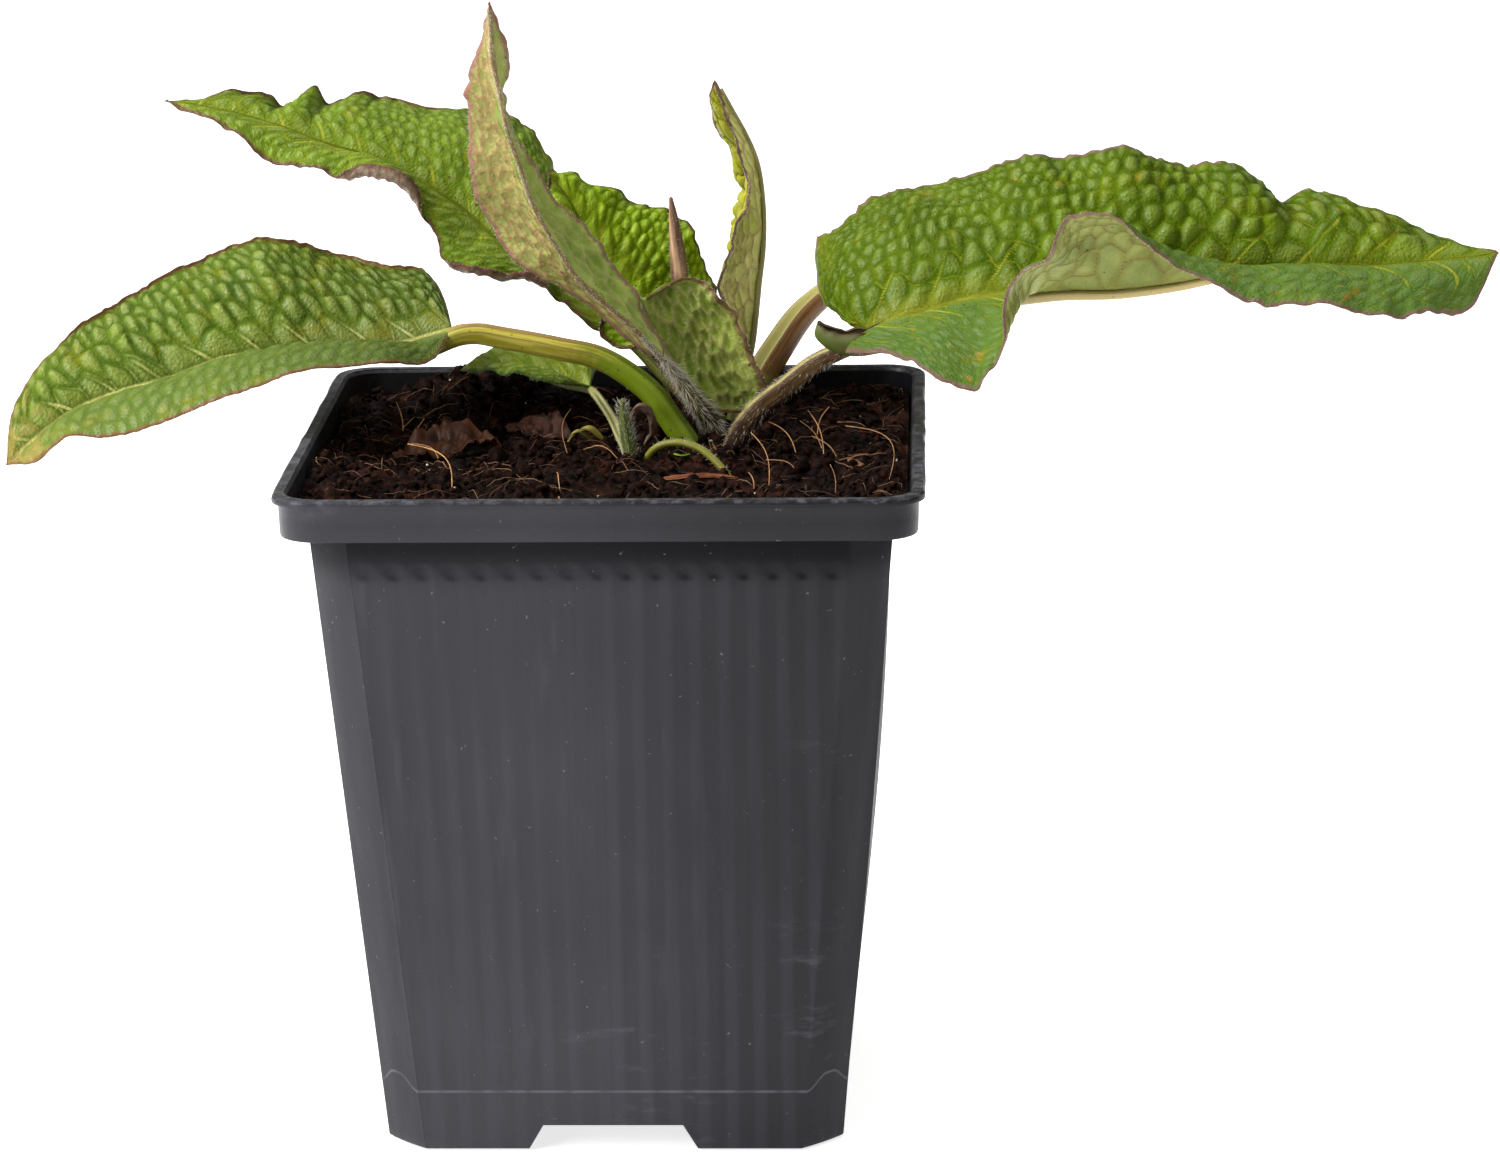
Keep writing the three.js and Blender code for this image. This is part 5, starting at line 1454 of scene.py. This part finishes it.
def add_hairs(build, blade, sides, stalk):
    """Fine hairs on the stalk, under the veins and along the margin of a leaf."""
    look, (upper, under, normals) = blade.look, sides
    random = np.random.default_rng(look["seed"] + 300)
    places, along, shell, outward = stalk
    on_stalk, on_veins, on_margin = look["hairs"]
    groups = []
    if on_stalk:
        share = look.get("stalk_hairs", 0.5)
        below = places < HAIR_END
        weight = np.where(below, share, 1 - share) * (shell[..., 2].mean(1) > HAIR_FOOT)
        weight = weight / np.where(below, max(1, below.sum()), (~below).sum())
        row = random.choice(len(places), on_stalk, p=weight / weight.sum())
        column = random.integers(0, STALK_SIDES, on_stalk)
        lower = (places[row] > 0) & (column < STALK_SIDES // 2)
        column = np.where(lower, column + STALK_SIDES // 2, column)
        way = outward[row, column]
        back = along[row] * -random.uniform(0.5, 1.3, (on_stalk, 1))
        slide = along[row] * random.uniform(-0.5, 0.5, (on_stalk, 1))
        groups.append((shell[row, column] + slide - way * HAIR_SUNK,
                       way + back + random.normal(0, 0.25, (on_stalk, 3)),
                       look["hair_length"] * random.uniform(0.5, 1.25, on_stalk)
                       * np.where(places[row] > 0, 0.3, 1),
                       np.full(on_stalk, look.get("hair_radius", HAIR_RADIUS))))
    if on_veins:
        near = (blade.third < 0.4) & (blade.edge > 0.8)
        picks = random.choice(np.flatnonzero(near), on_veins)
        groups.append((under.reshape(-1, 3)[picks],
                       random.normal(0, 0.45, (on_veins, 3)) - normals.reshape(-1, 3)[picks],
                       0.6 * random.uniform(0.4, 0.9, on_veins),
                       np.full(on_veins, VEIN_HAIR_RADIUS)))
    if on_margin:
        row = random.integers(2, len(upper) - 2, on_margin)
        column = np.where(random.uniform(0, 1, on_margin) < 0.5, upper.shape[1] - 1, 0)
        outer = unit(blade.across[row, column])
        groups.append((0.5 * (upper[row, column] + under[row, column]) - outer * HAIR_SUNK,
                       outer + random.normal(0, 0.4, (on_margin, 3)) - 0.4 * normals[row, column],
                       0.55 * random.uniform(0.5, 1.2, on_margin),
                       np.full(on_margin, MARGIN_HAIR_RADIUS)))
    build.hairs(*(np.concatenate(parts) for parts in zip(*groups)), material=2)


def add_leaf(name, leaf, look, paints):
    blade = Blade(leaf, look)
    upper, under, normals = blade.sides()
    stalk = stalk_mesh(leaf, look, blade.spine)
    places, _, shell, _ = stalk
    middles = shell.mean(1)
    stalk_points = np.vstack([shell.reshape(-1, 3), middles[:1], middles[-1:]])
    turn = np.append(np.tile(np.arange(STALK_SIDES) / STALK_SIDES, len(places)), [0, 0])
    place = np.append(np.repeat(places, STALK_SIDES), [places[0], places[-1]])
    build = Build()
    build.sheet(upper, under, np.clip(blade.second, 0, 5))
    build.add(stalk_points, tube_faces(len(places), STALK_SIDES), 1)
    bare = build.count
    add_hairs(build, blade, (upper, under, normals), stalk)

    def spread(values, below=None, on_stalk=0.0):
        """Values over all points: the upper side's, the underside's, the stalk's, and 0 for hairs."""
        values = np.broadcast_to(values, blade.t.shape).ravel()
        below = values if below is None else np.full(len(values), below)
        on_stalk = np.broadcast_to(on_stalk, (len(stalk_points),))
        return np.concatenate([values, below, on_stalk, np.zeros(build.count - bare)])

    obj = build.make(name.replace("leaf_", "comfrey_"), {
        "lines": np.stack([spread(blade.t), spread(blade.reach), spread(blade.third)], -1),
        "where": np.stack([spread(blade.edge, on_stalk=turn), spread(blade.a, on_stalk=place),
                           spread(0.0, below=1.0)], -1),
        "flat": np.stack([spread(blade.s, on_stalk=place),
                          spread(blade.t * blade.sign, on_stalk=turn * 12), spread(blade.tone)], -1)})
    mend(obj)
    finish_piece(obj, "leaf", paints, [name])


def blade_paint(name, tints, plain):
    """Upper side, underside, veins and edge of a blade, from the attributes of its points; painted
    highlights on the cell tops, painted shade in the grooves and near the base, and a painted sheen on
    the smoother half.
    """
    paint = Shader(name)
    step, mix, noise, math_of = paint.step, paint.mix, paint.noise, paint.math
    first, reach, third = paint.split(paint.attribute("lines", "Vector"))
    edge, along, under = paint.split(paint.attribute("where", "Vector"))
    flat = paint.attribute("flat", "Vector")
    _, across, tone = paint.split(flat)
    patch, fine = noise(flat, 0.3, 3.0), noise(flat, 0.9, 4.0)
    shade = (step(noise(flat, 0.09, 4.0), 0.3, 0.7, 0.0, 0.6)
             + (tone * 0.4 + step(patch, 0.35, 0.7, 0.0, 0.3)))
    # painted highlight on the tops of the cells, in the crown colour
    crown = step(reach, 0.3, 1.0) * 0.4
    # painted shade in the grooves between the cells, partly their darker vein colour
    groove = math_of("MAXIMUM", step(reach, 0.55, 0.0, 0.0, 0.4),
                     step(third, 0.3, 0.06) * step(patch, 0.3, 0.6, 0.5, 0.95)) * tints["grooves"]
    upper = mix(shade, tints["dark"], tints["light"])
    if plain:
        # painted sheen: the smoother half is tinted bluish as grazing light on its hairs looks, with
        # less painted highlight and shade
        side = step(across, 0.0, 1.5 * plain)
        upper = mix(side * 0.75, upper, tints["sheen_tint"])
        crown = crown * step(side, 0.0, 1.0, 1.0, 0.4)
        groove = groove * (1.0 - side * 0.8)
    line = math_of("MAXIMUM", step(third, 0.26, 0.06) * 0.55, step(paint.attribute("tone"), 0.38, 0.12))
    vein = line * (step(first, tints["veined"], 1.0) * 0.7 + tints["net_above"])
    vein = vein * step(noise(flat, 0.12), 0.35, 0.6, 0.3, 1.0)
    middle = step(first, 0.75, 0.2) * (step(fine, 0.2, 0.55, 0.55, 0.95) * tints["middle"])
    middle = middle * step(along, 0.12, 0.4, 1.0, tints["middle_far"])
    glow = step(first, 4.5, 0.6) * step(along, 0.5, 0.0, 0.1, 0.4) * tints["glow"]
    faded = step(along + step(patch, 0.35, 0.65, -0.05, 0.05), 0.87, 0.98)
    rust = step(noise(flat, 0.32, 3.0), 0.62, 0.72) * tints["rust"] * step(edge, 11.0, 5.0)
    upper = paint.layers(
        upper, (crown, tints["crown"]), (groove, tints["deep"]),
        (step(along, 0.55, 0.1) * tints["base_shade"], tints["deep"]), (glow, tints["vein"]),
        (math_of("MINIMUM", math_of("MAXIMUM", vein, middle), 1.0), tints["vein"]),
        (step(noise(flat, 0.13, 5.0), 0.52, 0.72) * tints["yellowing"], tints["yellow"]),
        (faded * tints["bleach"] * 0.85, (142, 128, 62)), (rust, (168, 126, 30)))
    below, net = mix(shade, tints["under_dark"], tints["under_light"]), tints["net"]
    if "other_dark" in tints:
        other = step(across, 0.0, 1.0)
        below = mix(other, below, mix(shade, tints["other_dark"], tints["other_light"]))
        net = mix(other, net, tints["other_net"])
    below = paint.layers(below, (step(reach, 0.8, 0.1) * tints["hollow"], net),
                         (step(third, 0.24, 0.06, 0.0, 0.65), net),
                         (step(along, 0.25, 0.9) * tints["blush"] * 0.5, (182, 150, 112)))
    wide = edge + step(fine, 0.3, 0.7, -0.3, 0.3)
    rim = step(wide / (under * 0.35 + 1.0), 1.0, 0.3)
    specks = step(paint.cells(flat, 0.2), 0.075, 0.04)
    paint.put("Base Color", paint.layers(mix(under, upper, below), (rim * 0.9, tints["edge"]),
                                         (specks * 0.8, (72, 48, 24))))
    paint.put("Roughness", step(fine, 0.3, 0.7, 0.28, 0.42))
    paint.put("Specular IOR Level", step(reach, 0.15, 0.8, 0.02, 0.27))
    paint.bump(paint.cells(flat, 1.6) * 0.5 + noise(flat, 2.4, 3.0) * 0.7, 0.0003, 0.9)
    return paint


def stalk_paint(name, tints, start):
    """A stalk with a paler channel on its upper side, changing colour from the soil to the blade."""
    paint = Shader(name, Specular_IOR_Level=0.25)
    step = paint.step
    turn, along, _ = paint.split(paint.attribute("where", "Vector"))
    flat = paint.attribute("flat", "Vector")
    streak = paint.noise(flat, (0.1, 1.6, 1.0), 4.0)
    above = abs(turn - tints["turned"])
    low = along + step(paint.noise(flat, 0.5, 3.0), 0.3, 0.7, -3.0, 3.0)
    foot = start + tints["reach"]
    paint.put("Base Color", paint.layers(
        paint.mix(step(streak, 0.35, 0.65), tints["dark"], tints["light"]),
        (step(above, 0.17, 0.09), tints["channel"]),
        (step(abs(above - 0.13), 0.04, 0.012) * 0.75, tints["lip"]),
        (step(low, foot + 12.0, foot, 0.0, 0.85), tints["foot"]),
        (step(along, -4.0, 4.0), tints["rib"]),
        (step(paint.cells(flat, 0.55), 0.13, 0.07) * 0.6, (60, 40, 26))))
    paint.put("Roughness", step(streak, 0.3, 0.7, 0.3, 0.45))
    paint.bump(streak, 0.0002, 0.5)
    return paint


def hair_paint():
    paint = Shader("hair", Roughness=0.5, Specular_IOR_Level=0.5)
    fine = paint.noise(paint.place(), 300.0)
    paint.put("Base Color", paint.mix(fine, (238, 234, 220), (204, 194, 172)))
    paint.put("Roughness", paint.step(fine, 0.3, 0.7, 0.4, 0.6))
    return paint


# Colours and shares that a leaf or stalk has unless its own look says otherwise
GREEN = {
    "dark": (62, 84, 10), "light": (104, 122, 28), "vein": (160, 162, 52), "deep": (24, 42, 0),
    "yellow": (136, 130, 20), "under_dark": (104, 120, 60), "under_light": (140, 146, 84),
    "net": (128, 98, 82), "edge": (100, 68, 54), "sheen_tint": (90, 124, 62), "crown": (146, 158, 58),
    "veined": 9.0, "glow": 0.6, "base_shade": 0.0, "middle": 1.0, "middle_far": 1.0, "grooves": 1.0,
    "hollow": 0.25, "net_above": 0.1, "yellowing": 0.3, "bleach": 0.0, "rust": 0.0, "blush": 0.2,
}
STALK = {
    "turned": 0.25, "reach": 7.0, "dark": (112, 118, 44), "light": (150, 152, 70),
    "channel": (140, 130, 66), "lip": (116, 80, 56), "foot": (120, 126, 50), "rib": (146, 146, 84),
}

hair = hair_paint()
for name, leaf in LEAVES.items():
    look = LOOKS[name]
    length = lengths_along(leaf["stalk"] + leaf["rib"])[len(leaf["stalk"])]
    paints = [blade_paint(name + "_blade", {**GREEN, **look["colours"]}, look.get("plain", 0)),
              stalk_paint(name + "_stalk", {**STALK, **look["stalk"]}, -length), hair]
    add_leaf(name, leaf, look, paints)


# Small pieces


def grown_paint(name, dark, light, streaks=(900.0, 900.0, 120.0), roughness=(0.35, 0.55)):
    """A material for small living or dry pieces: two colours by tone, with streaks and grain."""
    paint = Shader(name, Specular_IOR_Level=0.3)
    streak = paint.noise(paint.place(), streaks, 4.0)
    tone = paint.attribute("tone") * 0.75 + paint.step(streak, 0.3, 0.7, 0.0, 0.25)
    paint.put("Base Color", paint.mix(tone, dark, light))
    paint.put("Roughness", paint.step(streak, 0.3, 0.7, *roughness))
    paint.bump(streak, 0.0002, 0.6)
    return paint


def add_stem(build, route, radii, step, sides, form, ends):
    """A tube; for its places and angles, form gives shares of the radius and tones."""
    points, radii, places = fine_route(route, radii, step)
    shape, tone = form(places[:, None], around(sides)[None, :])
    build.tube(points, radii[:, None] * shape, sides, 0, np.append(tone.ravel(), ends))
    return points, radii


def add_spear():
    def form(place, angle):
        roll = (angle / (2 * np.pi) + 0.02 * place) % 1
        ridges = 0.05 * np.cos(9 * angle + 0.12 * place)
        return 0.94 + 0.16 * roll + ridges + 0.03 * np.sin(place * 1.7), bell(roll - 0.12, 0.1)

    build = Build()
    route, radii = add_stem(build, SPEAR, [1, 1, 1.1, 1.3, 1.5, 1.3, 0.9, 0.35], 0.5, 36, form, (0, 0))
    random = np.random.default_rng(61)
    row = random.integers(8, len(route) - 4, 260)
    way = unit(random.normal(0, 1, (260, 3)) * (1, 1, 0.2)) + (0, 0, 0.35)
    build.hairs(route[row] + unit(way * (1, 1, 0)) * radii[row, None] * 0.95, way, 0.7, 0.05)
    paint = grown_paint("spear", (84, 50, 44), (224, 180, 140))
    finish_piece(build.make("comfrey_spear"), "young_leaf", [paint, hair], ["leaf_spear"])


def add_shoot():
    def form(place, angle):
        ribs = np.cos(6 * angle + 0.2 * place)
        return 1 + 0.07 * ribs, 0.35 + 0.3 * ribs + 0.2 * (place > 12)

    build = Build()
    route, radii = add_stem(build, SHOOT, [0.9, 1.1, 1.2, 0.9, 0.35], 0.35, 28, form, (0.3, 0.6))
    random = np.random.default_rng(62)
    count = 420
    row = random.integers(int(len(route) * 0.36), len(route) - 1, count)
    turn = random.uniform(0, 2 * np.pi, count)
    flat = np.stack([np.cos(turn), np.sin(turn), 0 * turn], -1)
    way = np.stack([np.cos(turn), np.sin(turn), random.uniform(0.2, 1.6, count)], -1)
    build.hairs(route[row] + flat * radii[row, None] * 0.95, way, random.uniform(0.7, 1.7, count),
                0.028, droop=0.2)
    paint = grown_paint("shoot", (56, 70, 22), (108, 118, 52))
    finish_piece(build.make("comfrey_shoot"), "shoot", [paint, hair], ["shoot_hairy"])


def add_arched_stalk():
    def form(place, angle):
        torn = bell(place / place[-1] - 0.97, 0.07)
        return (1 + 0.05 * np.cos(3 * angle) + 0.03 * np.sin(place * 2.1),
                0.55 + 0.3 * np.cos(angle - 1.2) - 0.35 * torn)

    build = Build()
    route, radii = add_stem(build, ARCH, [0.6, 0.65, 0.7, 0.7, 0.7, 0.65, 0.5], 0.4, 24, form,
                            (0.4, 0.1))
    random = np.random.default_rng(63)
    count = 150
    row = random.integers(int(len(route) * 0.3), int(len(route) * 0.9), count)
    turn = random.uniform(0, 2 * np.pi, count)
    way = np.stack([np.cos(turn), 0.3 * np.cos(turn), np.sin(turn)], -1)
    build.hairs(route[row] + unit(way) * radii[row, None] * 0.9, way,
                random.uniform(0.3, 0.7, count), 0.04)
    paint = grown_paint("arched_stalk", (66, 68, 12), (124, 122, 32))
    finish_piece(build.make("comfrey_arched_stalk"), "stalk", [paint, hair], ["stalk_arched"])


def add_curled_leaf():
    crumple = lattice_noise(64, 1.0)

    def form(place, angle):
        shape = 1 + 0.28 * crumple(place * 1.1, 3 * np.cos(angle) + 5)
        shape = 0.9 * shape * (1 + 0.25 * np.cos(2 * angle + 0.35 * place))
        return shape, 0.4 + 0.4 * crumple(place * 1.6, 2 * np.sin(angle) - 9)

    build = Build()
    ring = [(4.4 + 1.9 * math.cos(turn), 9 + 0.25 * k, 118.4 + 3.4 * math.sin(turn))
            for k, turn in enumerate(np.radians(np.linspace(-70, 230, 8)))]
    add_stem(build, [(4.6, 8.6, 109), (4.8, 8.8, 112.5)] + ring,
             [0.5, 0.5, 0.55, 0.6, 0.7, 0.7, 0.7, 0.6, 0.5, 0.4], 0.35, 24, form, (0.3, 0.5))
    paint = grown_paint("curled_dry_leaf", (34, 24, 20), (112, 84, 64))
    finish_piece(build.make("dry_curled_leaf"), "dry_leaf", [paint], ["dry_leaf_curled"])


def add_seedling():
    build = Build()
    route, radii, _ = fine_route(SEEDLING, [0.5, 0.45, 0.45, 0.5], 0.4)
    build.tube(route, radii * 0.85, 16, 0, 0.45)
    for start, end, width, dip in (((-6.6, 12.6, 116.6), (-9.5, 12.2, 114.8), 1.3, 1.2),
                                   ((-7, 12.6, 116.8), (-3, 12.4, 116.6), 1.0, 1.4)):

        def surface(u, v):
            points = start + np.subtract(end, start) * u[..., None]
            arch = np.sin(np.pi * u)
            points[..., 2] += 1.2 * arch - dip * u * u - 0.35 * v * v * arch
            points[..., 1] += width * v * arch ** 0.6
            points[..., 0] += 0.3 * width * v
            return points

        build.thin_sheet(surface, 22, 15, 0.35, 0.75)
    paint = grown_paint("seedling", (104, 92, 34), (158, 146, 66))
    finish_piece(build.make("seedling_plant"), "seedling", [paint], ["seedling"])


def add_sprout():
    def surface(u, v):
        width = 1.5 * np.sin(np.pi * u) ** 0.7
        cup = 0.35 * v * v * np.sin(np.pi * u)
        return np.stack([11.8 + width * v, 1.8 - 2.4 * u, 113.8 + 2.6 * u - 1.1 * u * u + cup], -1)

    build = Build()
    route, radii, _ = fine_route(SPROUT, [0.5, 0.5, 0.45], 0.4)
    build.tube(route, radii, 14, 0, 0.4)
    build.thin_sheet(surface, 24, 17, 0.35, 0.85)
    paint = grown_paint("sprout", (62, 92, 16), (112, 150, 24))
    finish_piece(build.make("sprout_plant"), "shoot", [paint], ["sprout"])


LITTER = {
    "dry_leaf_large": {"at": (-31, 8), "over": 1.2, "turn": 15, "tip": (12, -10), "length": 21,
                       "width": 11, "bend": 2.4, "wrinkle": 1.5, "seed": 71, "slot": "dry_leaf",
                       "colours": ((22, 11, 6), (104, 58, 30)), "rough": (0.4, 0.6)},
    "dry_leaf_small": {"at": (-15, 19), "over": 1.8, "turn": -20, "tip": (20, 4), "length": 13,
                       "width": 8, "bend": 1.6, "wrinkle": 1.1, "seed": 72, "slot": "dry_leaf",
                       "colours": ((16, 8, 5), (84, 44, 26)), "rough": (0.55, 0.75)},
    "bark_sliver": {"at": (15, -14), "over": 1.3, "turn": 6, "tip": (4, 0), "length": 15,
                    "width": 2.4, "bend": 0.5, "wrinkle": 0.16, "seed": 73, "slot": "bark",
                    "colours": ((70, 34, 16), (148, 82, 40)), "rough": (0.5, 0.7)},
}
LITTER_ROWS = 68
LITTER_COLUMNS = 34


def add_litter(name, piece):
    """A dry bent sheet with wrinkles, ribs and a torn edge, lying where the part's piece lies."""
    wave = lattice_noise(piece["seed"], 1.0)
    x, y = piece["at"]
    turn = Matrix.Rotation(math.radians(piece["turn"]), 3, "Z")
    turn = turn @ Matrix.Rotation(math.radians(piece["tip"][1]), 3, "Y")
    turn = turn @ Matrix.Rotation(math.radians(piece["tip"][0]), 3, "X")
    place = np.array((x, y, float(soil_height(x, y)) + piece["over"]))

    def surface(u, v):
        torn = 1 + 0.16 * wave(u * 11, 3 * np.sign(v)) - 0.1 * np.abs(wave(u * 31, 5 * np.sign(v)))
        across = piece["width"] / 2 * np.sin(np.pi * u) ** 0.7 * torn * v
        along = piece["length"] * (u - 0.5)
        rise = piece["bend"] * (v * v * np.sin(np.pi * u) - 0.6 * (2 * u - 1) ** 2)
        fold = wave(along / 2.1 + 40, across / 2.1) + 0.5 * wave(along / 0.9, across / 0.9 + 20)
        rib = bell(across, 0.5) + 0.4 * np.abs(np.sin(along * 1.3 - np.abs(across)))
        rise = rise + piece["wrinkle"] * (fold - 0.5 * rib)
        return np.stack([along, across, rise], -1) @ np.array(turn).T + place

    build = Build()
    u, v = np.linspace(0, 1, LITTER_ROWS)[:, None], np.linspace(-1, 1, LITTER_COLUMNS)
    tones = 0.5 + 0.4 * wave(u * 9 + 13, v * 3) - 0.25 * bell(v, 0.12)
    build.thin_sheet(surface, LITTER_ROWS, LITTER_COLUMNS, 0.3, tones)
    paint = grown_paint(name, *piece["colours"], (160.0, 160.0, 160.0), piece["rough"])
    finish_piece(build.make("litter_" + name), piece["slot"], [paint], [name])


def add_lobe():
    """The lobe at the foot of the large right blade, which curls up over its own stalk."""
    route = [(52, 3.5, 133.4), (47.5, 4.3, 132.8), (43, 4.2, 132.2), (39.4, 4.3, 132.7),
             (36.9, 4.7, 134.1), (35.6, 5, 135.9), (35.9, 5, 137)]
    points, radii, _ = fine_route(route, [3.2, 3.5, 3.2, 2.3, 1.8, 1.2, 0.5], 0.4)
    track = Track(np.linspace(0, 1, len(points)), np.column_stack([points, radii]))
    ripple = lattice_noise(74, 1.0)

    def surface(u, v):
        centre = track.at(u)
        angle = v * (1.75 + 0.5 * u + 0.16 * ripple(u * 7, np.sign(v) * 3))
        out = np.stack([0.35 * u * (1 - np.cos(angle)), 0.75 * np.sin(angle), 1 - np.cos(angle)], -1)
        return centre[..., :3] + out * (centre[..., 3] + 0.12 * ripple(u * 16, v * 3))[..., None]

    build = Build()
    tones = 0.8 - 0.8 * smoothstep(0.8, 0.97, np.abs(np.linspace(-1, 1, 26)))
    build.thin_sheet(surface, 40, 26, 0.5, tones)
    paint = grown_paint("curled_lobe", (84, 56, 46), (98, 116, 46), (260.0, 260.0, 260.0))
    finish_piece(build.make("comfrey_lobe"), "leaf", [paint])


# The tap root and the side roots: a route, and the radius at its start and end
ROOTS = [([(18, 22, 98), (15, 17, 74), (9, 10, 44), (4, 4, 16)], (5, 1.2)),
         ([(17, 18, 88), (4, 2, 74), (-16, -14, 58), (-28, -24, 34)], (1.8, 0.7)),
         ([(16, 20, 84), (26, 20, 66), (32, 6, 44), (30, -10, 24)], (1.7, 0.7)),
         ([(15, 19, 80), (2, 34, 62), (-18, 34, 42), (-26, 28, 22)], (1.6, 0.7)),
         (SURFACE_ROOT, (1.4, 0.7))]
ROOT_SIDES = 18


def add_rootstock():
    build = Build()
    random = np.random.default_rng(65)
    base, faces = ball_shape(3)
    bumps = lattice_noise(66, 0.35)
    swell = 1 + 0.06 * bumps(base[:, 0] * 2, base[:, 1] * 2 + base[:, 2] * 3)
    build.add(base * swell[:, None] * (8, 17, 7) + (18, 24, 100), [faces], 0, 0.45)
    for route, ends in ROOTS:
        points, radii, _ = fine_route(route, np.linspace(*ends, len(route)), 0.9)
        rough = 1 + 0.08 * random.normal(0, 1, (len(points), ROOT_SIDES))
        rough = 0.5 * rough + 0.25 * (np.roll(rough, 1, 1) + np.roll(rough, -1, 1))
        build.tube(points, radii[:, None] * rough, ROOT_SIDES, 0, random.uniform(0.2, 0.7))
    paint = grown_paint("root", (58, 34, 22), (168, 122, 78), (300.0, 300.0, 300.0), (0.5, 0.7))
    finish_piece(build.make("root_crown"), "root", [paint], ["rootstock"])


add_spear()
add_shoot()
add_arched_stalk()
add_seedling()
add_sprout()
add_curled_leaf()
for name, piece in LITTER.items():
    add_litter(name, piece)
add_rootstock()
add_lobe()
